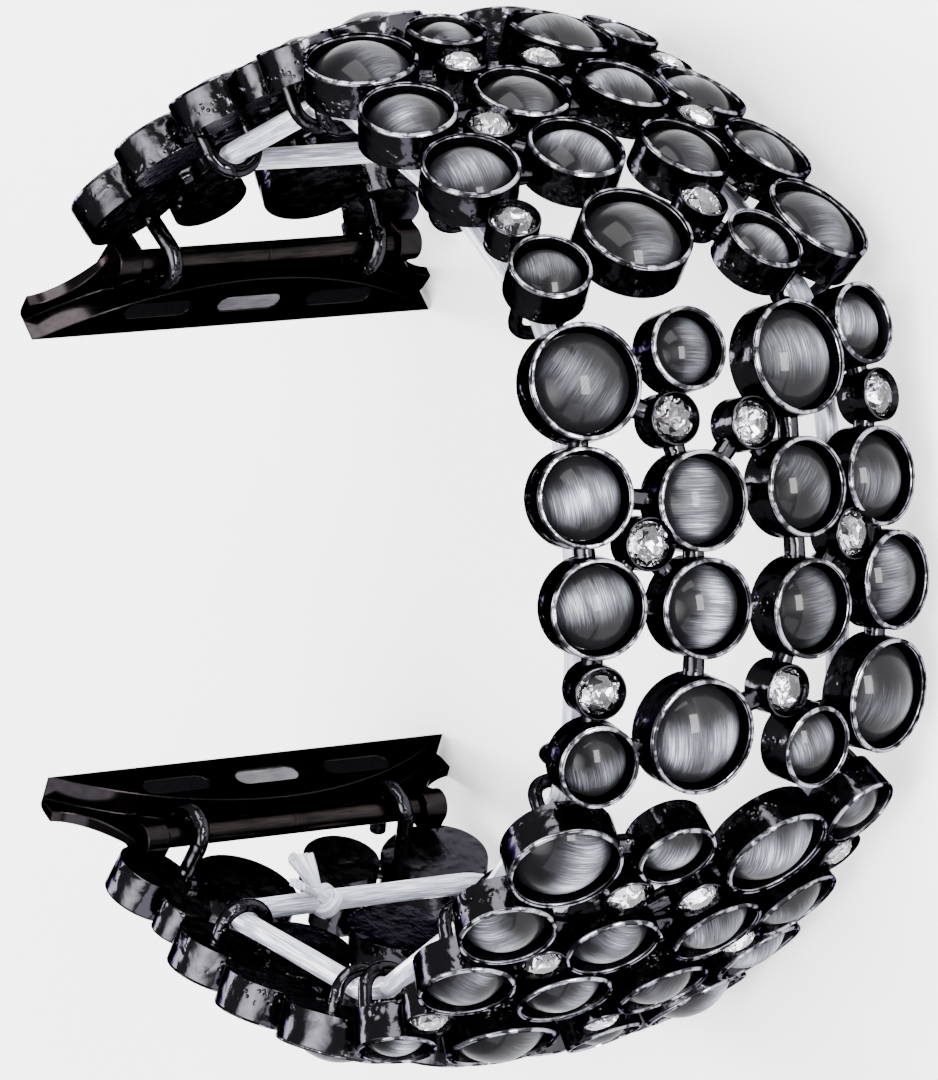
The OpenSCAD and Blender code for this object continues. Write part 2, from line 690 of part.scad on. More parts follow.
elastic_bridge(3);  // elastic_bridge_34
elastic_bridge(4);  // elastic_bridge_45
knot();  // elastic_knot
adapter_body(true);  // upper_adapter_body
adapter_pads(true);  // upper_adapter_pads
latch_button(true);  // upper_latch_button
latch_spring(true);  // upper_latch_spring
bar_tube(true);  // upper_bar_tube
bar_plunger(true, 1);  // upper_bar_plunger_near
bar_plunger(true, -1);  // upper_bar_plunger_far
bar_spring(true);  // upper_bar_spring
adapter_body(false);  // lower_adapter_body
adapter_pads(false);  // lower_adapter_pads
latch_button(false);  // lower_latch_button
latch_spring(false);  // lower_latch_spring
bar_tube(false);  // lower_bar_tube
bar_plunger(false, 1);  // lower_bar_plunger_near
bar_plunger(false, -1);  // lower_bar_plunger_far
bar_spring(false);  // lower_bar_spring
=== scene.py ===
"""Looks of the rhinestone stretch watch band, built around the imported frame.

The CAD frame carries the cast plaques, the adapters and the spring bars. This script adds the
cat's-eye stones, the faceted rhinestones and the fibrous elastic, and dresses every surface.
Sizes are millimetres in the row's frame, and MM turns them to Blender's metres.
"""

import json
import logging
import math
import random
from collections.abc import Callable, Iterator, Sequence
from contextlib import contextmanager
from dataclasses import dataclass, field
from enum import Enum

import bmesh
import bpy
from mathutils import Matrix, Vector


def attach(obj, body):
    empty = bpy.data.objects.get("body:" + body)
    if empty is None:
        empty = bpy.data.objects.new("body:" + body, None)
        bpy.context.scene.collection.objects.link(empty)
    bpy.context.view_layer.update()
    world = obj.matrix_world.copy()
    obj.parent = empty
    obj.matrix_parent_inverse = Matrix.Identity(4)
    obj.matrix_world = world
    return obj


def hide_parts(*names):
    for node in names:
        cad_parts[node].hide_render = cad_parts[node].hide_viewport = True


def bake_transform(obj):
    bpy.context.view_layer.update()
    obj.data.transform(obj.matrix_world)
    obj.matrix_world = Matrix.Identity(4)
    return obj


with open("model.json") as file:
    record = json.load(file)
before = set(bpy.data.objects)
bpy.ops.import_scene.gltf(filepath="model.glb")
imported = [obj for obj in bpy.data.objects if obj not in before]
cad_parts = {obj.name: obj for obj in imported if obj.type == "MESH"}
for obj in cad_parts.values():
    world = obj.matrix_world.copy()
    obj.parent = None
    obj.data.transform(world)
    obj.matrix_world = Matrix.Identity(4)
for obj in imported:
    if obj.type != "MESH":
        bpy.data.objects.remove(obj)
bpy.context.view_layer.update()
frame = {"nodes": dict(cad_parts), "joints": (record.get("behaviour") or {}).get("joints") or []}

log = logging.getLogger("band")
MM = 0.001
# What every node of a kind gets here, unless a call says otherwise.
USUAL_SETTINGS = {"MapRange": {"interpolation_type": "SMOOTHSTEP"}, "Mix": {"data_type": "RGBA"}}
USUAL_INPUTS = {"TexNoise": {"Scale": 1.0, "Roughness": 0.55}, "TexVoronoi": {"Randomness": 1.0}}
# The colour sockets of a Mix node, which share their names with its other sockets.
MIX_A, MIX_B, MIX_OUT = 6, 7, 2


# --- Working in edit mode ---


def take_up(*pieces: bpy.types.Object) -> None:
    """Selects these pieces and nothing else, the last one active.

    Args:
        pieces: The objects to work on.
    """
    bpy.ops.object.select_all(action="DESELECT")
    for piece in pieces:
        piece.select_set(True)
        bpy.context.view_layer.objects.active = piece


@contextmanager
def editing(piece: bpy.types.Object, mode: str = "VERT") -> Iterator[bmesh.types.BMesh]:
    """Opens a piece in edit mode and hands over its mesh.

    Args:
        piece: The object to edit.
        mode: What is selected: VERT, EDGE or FACE.

    Returns:
        An iterator over the one edit mesh.
    """
    take_up(piece)
    bpy.ops.object.mode_set(mode="EDIT")
    bpy.ops.mesh.select_mode(type=mode)
    try:
        yield bmesh.from_edit_mesh(piece.data)
    finally:
        bpy.ops.object.mode_set(mode="OBJECT")


def pick_edges(piece: bpy.types.Object, wanted: Callable[[bmesh.types.BMEdge], bool]) -> None:
    """Selects the edges of a piece in edit mode that pass a test, and no others.

    Args:
        piece: The object in edit mode.
        wanted: The test of an edge.
    """
    bpy.ops.mesh.select_all(action="DESELECT")
    mesh = bmesh.from_edit_mesh(piece.data)
    for edge in mesh.edges:
        if wanted(edge):
            edge.select_set(True)
    bmesh.update_edit_mesh(piece.data)


def joined(pieces: Sequence[bpy.types.Object], name: str) -> bpy.types.Object:
    """Joins pieces into one named object whose place is in its mesh.

    Args:
        pieces: The objects to join. They are used up.
        name: The name of the joined piece.

    Returns:
        The joined object, at the origin.
    """
    take_up(*pieces)
    bpy.ops.object.transform_apply(location=True, rotation=True, scale=True)
    if len(pieces) > 1:
        bpy.ops.object.join()
    piece = bpy.context.view_layer.objects.active
    piece.name = name
    piece.data.name = name
    return piece


def placed(name: str, data: bpy.types.ID) -> bpy.types.Object:
    """Puts a new object with this mesh, light or camera in the scene.

    Args:
        name: Name of the object.
        data: What it shows.

    Returns:
        The object, at the origin.
    """
    piece = bpy.data.objects.new(name, data)
    bpy.context.scene.collection.objects.link(piece)
    return piece


def copied(source: bpy.types.Object, name: str, place: Matrix) -> bpy.types.Object:
    """Copies a mesh object to a place.

    Args:
        source: The object to copy.
        name: Name of the copy.
        place: Where its mesh is moved to.

    Returns:
        The copy, with its own mesh.
    """
    mesh = source.data.copy()
    mesh.transform(place)
    return placed(name, mesh)


def smoothed(piece: bpy.types.Object, degrees: float) -> bpy.types.Object:
    """Shades a piece smooth up to an angle.

    Args:
        piece: The object to shade.
        degrees: The angle.

    Returns:
        The same object.
    """
    take_up(piece)
    bpy.ops.object.shade_smooth_by_angle(angle=math.radians(degrees))
    return piece


# --- Where everything stands ---


# Walls of the cups round a cabochon and round a rhinestone, and the play of a stone in its cup.
CUP_WALL, CRYSTAL_WALL, STONE_CLEARANCE = 0.5, 0.25, 0.05


class Kind(Enum):
    """Kinds of stone, by diameter in millimetres."""

    LARGE = 6.0
    MEDIUM = 5.0
    SMALL = 4.0
    CRYSTAL = 2.7

    @property
    def cup_radius(self) -> float:
        """Outer radius of the cup that holds the stone."""
        wall = CRYSTAL_WALL if self is Kind.CRYSTAL else CUP_WALL
        return self.value / 2 + STONE_CLEARANCE + wall


@dataclass(frozen=True)
class Setting:
    """A stone's kind and its place on the plaque, across the band and down it."""

    kind: Kind
    u: float
    v: float


L, M, S, C = Kind.LARGE, Kind.MEDIUM, Kind.SMALL, Kind.CRYSTAL


@dataclass(frozen=True)
class BandPlan:
    """The band's arcs and stone pattern, from the same sizes as the solids.

    Attributes:
        turns: Turn of each plaque about the wrist, in degrees, from the first to the fifth.
        band_radius: Radius of a plaque's back along the band.
        cross_radius: Radius of a plaque's back across the band.
        half_pitch: Half of the way from joint to joint along a plaque's back.
        middle: Place down the band that the joints are centred on.
        columns: For each column its middle, its start, and its stones as kind, shift and gap.
        between: Crystals between two columns, as column, shift and place down the band.
    """

    turns: tuple[float, ...] = (113.0, 58.0, 0.0, -56.0, -109.0)
    band_radius: float = 58.0
    cross_radius: float = 43.0
    half_pitch: float = 14.875
    middle: float = 0.35
    columns: tuple = (
        (-10.4, -13.7, ((L, 0.2, 0), (M, -0.6, 0.15), (M, -0.1, 0.45), (C, 0.1, 0.3), (S, 0.2, 0.2))),
        (-3.7, -14, ((S, 0.2, 0), (C, -1.2, -0.25), (M, 0, 0.15), (M, 0, 0.12), (L, -0.1, 0.9))),
        (3.8, -14, ((L, 0.3, 0), (C, -3.5, -1.6), (M, -0.2, -0.75), (M, -0.1, 1), (C, -1.7, 0),
                    (S, 0.7, -0.6))),
        (10.2, -14.8, ((S, -0.4, 0), (C, 0.4, 0.1), (M, -0.5, 0.15), (M, 0.5, 0.2), (L, 0, 0.35))),
    )
    between: tuple = ((0, -0.1, -0.4), (2, 0.3, 0.1))

    def settings(self) -> list[Setting]:
        """Lists the settings of one plaque, in order.

        Returns:
            The columns' settings, then the crystals between them.
        """
        found = []
        for middle, start, stones in self.columns:
            edge = start
            for kind, side, gap in stones:
                v = edge + gap + kind.cup_radius
                found.append(Setting(kind, middle + side, v))
                edge = v + kind.cup_radius
        for column, side, v in self.between:
            u = (self.columns[column][0] + self.columns[column + 1][0]) / 2 + side
            found.append(Setting(Kind.CRYSTAL, u, v))
        return found

    def heading(self, degrees: float) -> Vector:
        """Returns the unit vector at an angle about the wrist's axis."""
        return Vector((math.cos(math.radians(degrees)), math.sin(math.radians(degrees)), 0))

    @property
    def half_turn(self) -> float:
        """Half of the angle that a plaque spans about its own arc's centre."""
        return math.degrees(self.half_pitch / self.band_radius)

    def centre(self, plaque: int) -> Vector:
        """Finds the centre of a plaque's arc.

        Args:
            plaque: The plaque's number, from 1.

        Returns:
            The centre from the third plaque's, in millimetres.
        """
        if plaque == 3:
            return Vector((0, 0, 0))
        step = 1 if plaque > 3 else -1
        inner = plaque - step
        edge = self.heading(self.turns[inner - 1] - step * self.half_turn)
        own = self.heading(self.turns[plaque - 1] + step * self.half_turn)
        return self.centre(inner) + self.band_radius * (edge - own)

    def origin(self) -> Vector:
        """Returns the third plaque's arc centre in the row's frame, from a joint of the record."""
        joint = next(j for j in frame["joints"] if j["name"] == "flex_34")
        local = self.band_radius * self.heading(self.turns[2] - self.half_turn)
        return Vector(joint["pos_m"]) / MM - local

    def stand(self, plaque: int, u: float, v: float, height: float = 0.0) -> Matrix:
        """Returns the place above a plaque's back: X across the band, -Y down it and Z outwards.

        Args:
            plaque: The plaque's number, from 1.
            u: Place across the band.
            v: Place down the band.
            height: Height above the back.

        Returns:
            The place in the row's frame, in millimetres.
        """
        along = (self.middle - v) / self.band_radius
        turn = math.radians(self.turns[plaque - 1]) + along
        place = Matrix.Translation(self.origin() + self.centre(plaque)) @ Matrix.Rotation(turn, 4, "Z")
        place = place @ Matrix.Translation((self.band_radius - self.cross_radius, 0, 0))
        place = place @ Matrix.Rotation(u / self.cross_radius, 4, "Y")
        place = place @ Matrix.Translation((self.cross_radius, 0, 0)) @ Matrix.Rotation(math.pi / 2, 4, "Y")
        return place @ Matrix.Translation((0, 0, height))

    def point(self, plaque: int, u: float, v: float, height: float) -> Vector:
        """Returns a point at a height above a plaque's back."""
        return self.stand(plaque, u, v, height).translation


def to_metres(place: Matrix) -> Matrix:
    """Turns a place in millimetres into one that also scales a mesh to metres."""
    return Matrix.Scale(MM, 4) @ place


# --- Finishes ---


def srgb(code: str, alpha: float = 1.0) -> tuple[float, float, float, float]:
    """Turns an sRGB hex colour to linear.

    Args:
        code: Six hex digits after a hash.
        alpha: Opacity.

    Returns:
        Linear red, green and blue, and the opacity.
    """
    parts = [int(code[i:i + 2], 16) / 255 for i in (1, 3, 5)]
    linear = [p / 12.92 if p <= 0.04045 else ((p + 0.055) / 1.055) ** 2.4 for p in parts]
    return (*linear, alpha)


class Tree:
    """A material's node tree, with one way to add a node."""

    def __init__(self, name: str) -> None:
        """Makes an empty material."""
        self.material = bpy.data.materials.new(name)
        self.material.use_nodes = True
        self.material.node_tree.nodes.clear()

    def put(self, kind: str, inputs: dict | None = None, out: int | str = 0,
            stops: Sequence[tuple[float, str]] = (), **settings: object) -> bpy.types.NodeSocket | None:
        """Adds a node with its settings and links.

        Args:
            kind: The node's type name after ShaderNode.
            inputs: Values, or the sockets that feed them, by input name or number.
            out: Name or number of the output to hand back.
            stops: Places and hex colours of a colour ramp.
            settings: The node's own properties.

        Returns:
            The output, or None for a node that has none.
        """
        tree = self.material.node_tree
        node = tree.nodes.new(f"ShaderNode{kind}")
        for key, value in (USUAL_SETTINGS.get(kind, {}) | settings).items():
            setattr(node, key, value)
        for number, (place, code) in enumerate(stops):
            elements = node.color_ramp.elements
            element = elements[number] if number < len(elements) else elements.new(1.0)
            element.position, element.color = place, srgb(code)
        for key, value in (USUAL_INPUTS.get(kind, {}) | (inputs or {})).items():
            if isinstance(value, bpy.types.NodeSocket):
                tree.links.new(value, node.inputs[key])
            else:
                node.inputs[key].default_value = value
        return node.outputs[out] if node.outputs else None

    def place_mm(self) -> bpy.types.NodeSocket:
        """Returns the place on the object in millimetres."""
        place = self.put("TexCoord", out="Object")
        return self.put("VectorMath", {0: place, "Scale": 1 / MM}, operation="SCALE")

    def finished(self, shader: bpy.types.NodeSocket) -> bpy.types.Material:
        """Puts a shader on the surface, and returns the material."""
        self.put("OutputMaterial", {"Surface": shader})
        return self.material


@dataclass(frozen=True)
class BlackNickelCasting:
    """Zinc alloy cast in a rubber mould and plated with black nickel.

    The plating is a dark mirror. The cups' walls keep the mould's waves and pits, the rims are
    worn bright where sleeves rub them, and the backs were ground on a belt over uneven castings.

    Attributes:
        plaque: Which plaque's back the height is measured from.
        wave_mm: Length of the waves on the cast walls.
        pit_mm: Spacing of the pits.
        patch_mm: Size of the patches that hold pits.
        lump_mm: Size of the lumps under a ground back.
        grind_mm: Spacing of the belt's lines.
        wear_mm: Size of the worn places along a rim.
        grain_mm: Grain of the plating.
    """

    plaque: int
    wave_mm: float = 1.5
    pit_mm: float = 0.42
    patch_mm: float = 2.2
    lump_mm: float = 0.85
    grind_mm: float = 0.16
    wear_mm: float = 0.8
    grain_mm: float = 0.14

    def height(self, tree: Tree, place: bpy.types.NodeSocket, plan: BandPlan) -> bpy.types.NodeSocket:
        """Adds nodes that measure the height above the plaque's back, in millimetres.

        Args:
            tree: The material's tree.
            place: The place on the object in millimetres.
            plan: The band's arcs.

        Returns:
            The height.
        """
        centre = plan.origin() + plan.centre(self.plaque)
        moved = tree.put("VectorMath", {0: place, 1: centre}, operation="SUBTRACT")
        x, y, z = (tree.put("SeparateXYZ", {0: moved}, out=axis) for axis in "XYZ")
        reach = tree.put("CombineXYZ", {"X": x, "Y": y})
        reach = tree.put("VectorMath", {0: reach}, "Value", operation="LENGTH")
        inset = tree.put("Math", {0: reach, 1: plan.band_radius - plan.cross_radius}, operation="SUBTRACT")
        section = tree.put("CombineXYZ", {"X": inset, "Y": z})
        length = tree.put("VectorMath", {0: section}, "Value", operation="LENGTH")
        return tree.put("Math", {0: length, 1: plan.cross_radius}, operation="SUBTRACT")

    def made(self, plan: BandPlan) -> bpy.types.Material:
        """Makes the material for this plaque.

        Args:
            plan: The band's arcs.

        Returns:
            The material.
        """
        tree = Tree(f"Black nickel casting {self.plaque}")
        place = tree.place_mm()
        height = self.height(tree, place, plan)
        across = tree.put("VectorMath", {0: place, 1: (0.12, 0.12, 1.0)}, operation="MULTIPLY")
        noise = {}
        for name, where, size_mm, detail in (
                ("wave", place, self.wave_mm, 1.5), ("patch", place, self.patch_mm, 1.0),
                ("grain", place, self.grain_mm, 2.0), ("lines", across, self.grind_mm, 2.0),
                ("lumps", place, self.lump_mm, 1.0), ("worn", place, self.wear_mm, 2.0)):
            noise[name] = tree.put("TexNoise", {"Vector": where, "Scale": 1 / size_mm, "Detail": detail})
        pits = tree.put("TexVoronoi", {"Vector": place, "Scale": 1 / self.pit_mm}, "Distance")
        mask = {}
        for name, source, start, end, low, high in (
                ("rim", height, 2.38, 2.47, 0, 1), ("over", height, 0.12, 0.02, 0, 1),
                ("under", height, -0.12, -0.02, 0, 1), ("patch", noise["patch"], 0.46, 0.6, 0, 1),
                ("low", height, 1.9, 0.7, 0.1, 1), ("pit", pits, 0.05, 0.4, 0, 1),
                ("worn", noise["worn"], 0.42, 0.6, 0, 1), ("dull", noise["lumps"], 0.3, 0.7, 0.04, 0.24)):
            mask[name] = tree.put("MapRange", {"Value": source, "From Min": start, "From Max": end,
                                               "To Min": low, "To Max": high})
        for name, first, second in (("back", "over", "under"), ("patches", "patch", "low"),
                                    ("pitted", "pit", "patches"), ("shine", "rim", "worn"),
                                    ("backs_dull", "back", "dull")):
            mask[name] = tree.put("Math", {0: mask[first], 1: mask[second]}, operation="MULTIPLY")
        for name in ("rim", "back"):
            mask[f"not_{name}"] = tree.put("Math", {0: 1.0, 1: mask[name]}, operation="SUBTRACT")
        wall = tree.put("Math", {0: mask["not_rim"], 1: mask["not_back"]}, operation="MULTIPLY")

        normal = None
        for relief, where, depth_mm, strength in (
                (noise["wave"], wall, 0.22, 0.7), (mask["pitted"], wall, 0.09, 0.8),
                (noise["grain"], 1.0, 0.012, 0.5), (noise["lumps"], mask["back"], 0.16, 0.6),
                (noise["lines"], mask["back"], 0.03, 0.9)):
            relief = tree.put("Math", {0: relief, 1: where}, operation="MULTIPLY")
            under = {} if normal is None else {"Normal": normal}
            normal = tree.put("Bump", {"Height": relief, "Distance": depth_mm * MM,
                                       "Strength": strength, **under})

        plating = tree.put("ValToRGB", {"Fac": mask["rim"]}, stops=[(0.1, "#2b2a2d"), (0.9, "#222224")])
        colour = tree.put("Mix", {0: mask["shine"], MIX_A: plating, MIX_B: srgb("#83838a")}, MIX_OUT)
        rough = tree.put("Math", {0: 0.085, 1: mask["backs_dull"]}, operation="ADD")
        rough = tree.put("Math", {0: noise["grain"], 1: 0.08, 2: rough}, operation="MULTIPLY_ADD")
        return tree.finished(tree.put("BsdfPrincipled", {
            "Metallic": 1.0, "Specular Tint": srgb("#76747a"), "Base Color": colour,
            "Roughness": rough, "Normal": normal}))


@dataclass(frozen=True)
class CatsEyeGlass:
    """Fibre-optic glass, ground to a low dome and polished.

    Its fibres lie side by side under a clear skin. A silky sheen across them and a cat's-eye band are
    painted into its colour as painted sheen, and painted shade darkens the stone towards its girdle.

    Attributes:
        fibre_mm: Width of a bundle of fibres.
        run_mm: Length over which a bundle keeps its brightness.
        painted_sheen: Broad waves per millimetre, along the fibres and across them, of the sheen painted
            into the colour.
    """

    fibre_mm: float = 0.075
    run_mm: float = 2.2
    painted_sheen: tuple[float, float, float] = (0.3, 0.8, 1)

    def made(self) -> bpy.types.Material:
        """Returns the material."""
        tree = Tree("Cats eye glass")
        grain = tree.put("UVMap", uv_map="Fibre")
        fine = tree.put("VectorMath", {0: grain, 1: (1 / self.run_mm, 1 / self.fibre_mm, 1)},
                        operation="MULTIPLY")
        streaks = tree.put("TexNoise", {"Vector": fine, "Detail": 3.0, "Roughness": 0.6})
        # Painted sheen: broad light and dark waves across the fibres.
        broad = tree.put("VectorMath", {0: grain, 1: self.painted_sheen}, operation="MULTIPLY")
        painted_sheen = tree.put("TexNoise", {"Vector": broad, "Detail": 1.0, "Roughness": 0.5})
        # Band carries the painted cat's-eye band, a painted sheen; Edge carries the distance that sets the
        # painted shade at the girdle; Tone is each stone's own tone.
        band, edge, value = (tree.put("Attribute", out="Fac", attribute_name=name)
                             for name in ("Band", "Edge", "Tone"))
        for part, middle, weight in ((streaks, 0.5, 1.1), (painted_sheen, 0.5, 0.7), (band, 0.8, 1.3)):
            part = tree.put("Math", {0: part, 1: middle}, operation="SUBTRACT")
            value = tree.put("Math", {0: part, 1: weight, 2: value}, operation="MULTIPLY_ADD")
        shade = tree.put("ValToRGB", {"Fac": value},
                         stops=[(0.0, "#060607"), (0.3, "#151517"), (0.62, "#3a3b40"), (1.0, "#8d9098")])
        # Painted shade: the colour darkens towards the girdle, from 0.7 of the radius outwards.
        dark = tree.put("MapRange", {"Value": edge, "From Min": 0.7, "From Max": 1.0, "To Max": 0.85})
        colour = tree.put("Mix", {0: dark, MIX_A: shade, MIX_B: srgb("#0c0c0e")}, MIX_OUT)
        silky = tree.put("Bump", {"Height": streaks, "Distance": 0.006 * MM, "Strength": 0.35})
        tangent = tree.put("Tangent", direction_type="UV_MAP", uv_map="Fibre")
        return tree.finished(tree.put("BsdfPrincipled", {
            "Base Color": colour, "Metallic": 0.0, "Roughness": 0.4, "Specular IOR Level": 0.05,
            "Anisotropic": 0.75, "Coat Weight": 0.13, "Coat Roughness": 0.03, "Coat IOR": 1.5,
            "IOR": 1.5, "Normal": silky, "Tangent": tangent}))


@dataclass(frozen=True)
class CutGlass:
    """Lead-free crystal, machine cut and polished, with flat clear facets.

    Attributes:
        smear_mm: Size of the faint smears that handling leaves.
    """

    smear_mm: float = 0.9

    def made(self) -> bpy.types.Material:
        """Returns the material."""
        tree = Tree("Cut crystal glass")
        smear = tree.put("TexNoise", {"Vector": tree.place_mm(), "Scale": 1 / self.smear_mm, "Detail": 1.0})
        smear = tree.put("MapRange", {"Value": smear, "From Min": 0.3, "From Max": 0.8, "To Max": 0.04})
        return tree.finished(tree.put("BsdfPrincipled", {
            "Base Color": srgb("#fbfbff"), "Transmission Weight": 1.0, "IOR": 1.58, "Roughness": smear}))


@dataclass(frozen=True)
class SilverFoil:
    """Vacuum-metallised silver foil on a rhinestone's back, a bright mirror with faint creases and patches
    of painted reflections.

    Attributes:
        crease_mm: Spacing of the creases.
        patch_mm: Size of the patches that stand for a cut stone's light and dark reflections.
    """

    crease_mm: float = 0.5
    patch_mm: float = 0.55

    def made(self) -> bpy.types.Material:
        """Returns the material."""
        tree = Tree("Silver foil backing")
        place = tree.place_mm()
        crease = tree.put("TexNoise", {"Vector": place, "Scale": 1 / self.crease_mm, "Detail": 2.0})
        crease = tree.put("Bump", {"Height": crease, "Distance": 0.02 * MM, "Strength": 0.4})
        # Painted reflections: patches of dark, grey and bright foil stand for a cut stone's light and dark
        # reflections.
        patch = tree.put("TexVoronoi", {"Vector": place, "Scale": 1 / self.patch_mm}, "Color")
        tint = tree.put("ValToRGB", {"Fac": tree.put("SeparateXYZ", {0: patch}, "X")},
                        stops=[(0.2, "#1c1b1f"), (0.5, "#6c686a"), (0.8, "#f4f4f7")])
        return tree.finished(tree.put("BsdfPrincipled", {
            "Metallic": 1.0, "Roughness": 0.06, "Base Color": tint, "Normal": crease}))


@dataclass(frozen=True)
class CrystalElastic:
    """Stretch cord of many clear white filaments laid side by side, coloured in streaks along them from grey
    painted shade to white painted highlights.

    Attributes:
        filament_mm: Width of a filament as drawn, coarser than the real one so that it shows.
        run: Change along a filament, per millimetre.
    """

    filament_mm: float = 0.09
    run: float = 0.35

    def made(self) -> bpy.types.Material:
        """Returns the material."""
        tree = Tree("White fibre elastic")
        lay = tree.put("UVMap", uv_map="Lay")
        lay = tree.put("VectorMath", {0: lay, 1: (1 / self.filament_mm, self.run, 1)}, operation="MULTIPLY")
        lines = tree.put("TexNoise", {"Vector": lay, "Detail": 2.0, "Roughness": 0.6})
        # Painted shade and painted highlights: the colour runs from grey to white in streaks along the
        # filaments.
        colour = tree.put("ValToRGB", {"Fac": lines},
                          stops=[(0.3, "#666877"), (0.5, "#9a9baa"), (0.66, "#e2e2ea")])
        ridges = tree.put("Bump", {"Height": lines, "Distance": 0.05 * MM, "Strength": 0.7})
        return tree.finished(tree.put("BsdfPrincipled", {
            "Base Color": colour, "Roughness": 0.28, "Subsurface Weight": 0.12,
            "Subsurface Radius": (0.5, 0.5, 0.6), "Subsurface Scale": 0.6 * MM, "Coat Weight": 0.4,
            "Coat Roughness": 0.15, "IOR": 1.49, "Normal": ridges}))


class Plated(Enum):
    """Plain finishes of the adapters' metal: name, colours, roughness, edge tint and line spacing.

    A line spacing of zero stands for a polished face with broad soft patches.
    """

    ADAPTER = ("Black plated adapter", "#191718", "#221f20", 0.14, "#464244", 0.0)
    BUTTON = ("Brushed steel button", "#414042", "#6b6a6d", 0.3, "#807e81", 0.07)
    TUBE = ("Black oxide spring bar", "#100f0f", "#252221", 0.2, "#3a3735", 0.1)
    SPRING = ("Drawn spring wire", "#8f8f94", "#c6c6ca", 0.2, "#ffffff", 0.1)
    PLUNGER = ("Turned steel plunger", "#77777b", "#a9a9ad", 0.2, "#ffffff", 0.08)

    def made(self) -> bpy.types.Material:
        """Returns the material, whose edges are eased as tumbling and plating ease them."""
        name, dark, light, rough, edge, line_mm = self.value
        tree = Tree(name)
        place = tree.place_mm()
        drawn = tree.put("VectorMath", {0: place, 1: (1, 1, 0.06 if line_mm else 1)}, operation="MULTIPLY")
        lines, patches = (
            tree.put("TexNoise", {"Vector": where, "Scale": 1 / size_mm, "Detail": detail})
            for where, size_mm, detail in ((drawn, line_mm or 0.5, 3.0), (place, 3.0, 2.0)))
        blend = tree.put("Math", {0: lines, 1: 0.6}, operation="MULTIPLY")
        blend = tree.put("Math", {0: patches, 1: 0.4, 2: blend}, operation="MULTIPLY_ADD")
        colour = tree.put("ValToRGB", {"Fac": blend}, stops=[(0.35, dark), (0.65, light)])
        gloss = tree.put("Math", {0: patches, 1: 0.12, 2: rough - 0.05}, operation="MULTIPLY_ADD")
        eased = tree.put("Bevel", {"Radius": 0.15 * MM}, samples=4)
        fine = tree.put("Bump", {"Height": lines, "Distance": (0.01 if line_mm else 0.004) * MM,
                                 "Strength": 0.5, "Normal": eased})
        return tree.finished(tree.put("BsdfPrincipled", {
            "Metallic": 1.0, "Specular Tint": srgb(edge), "Base Color": colour, "Roughness": gloss,
            "Normal": fine}))


@dataclass(frozen=True)
class MouldedRubber:
    """Black silicone pressed in a steel mould, matt with a faint grain.

    Attributes:
        grain_mm: Size of the mould's spark-eroded grain.
    """

    grain_mm: float = 0.12

    def made(self) -> bpy.types.Material:
        """Returns the material."""
        tree = Tree("Black moulded rubber")
        grain = tree.put("TexNoise", {"Vector": tree.place_mm(), "Scale": 1 / self.grain_mm, "Detail": 3.0})
        colour = tree.put("ValToRGB", {"Fac": grain}, stops=[(0.3, "#030304"), (0.7, "#09090a")])
        matt = tree.put("Bump", {"Height": grain, "Distance": 0.02 * MM, "Strength": 0.5})
        return tree.finished(tree.put("BsdfPrincipled", {
            "Base Color": colour, "Roughness": 0.5, "IOR": 1.42, "Specular IOR Level": 0.0,
            "Normal": matt}))


def dress(piece: bpy.types.Object, *materials: bpy.types.Material) -> None:
    """Gives a piece these materials in place of its own.

    Args:
        piece: The object to dress.
        materials: Its new materials, in the order of its slots.
    """
    piece.data.materials.clear()
    for material in materials:
        piece.data.materials.append(material)


# --- Stones ---


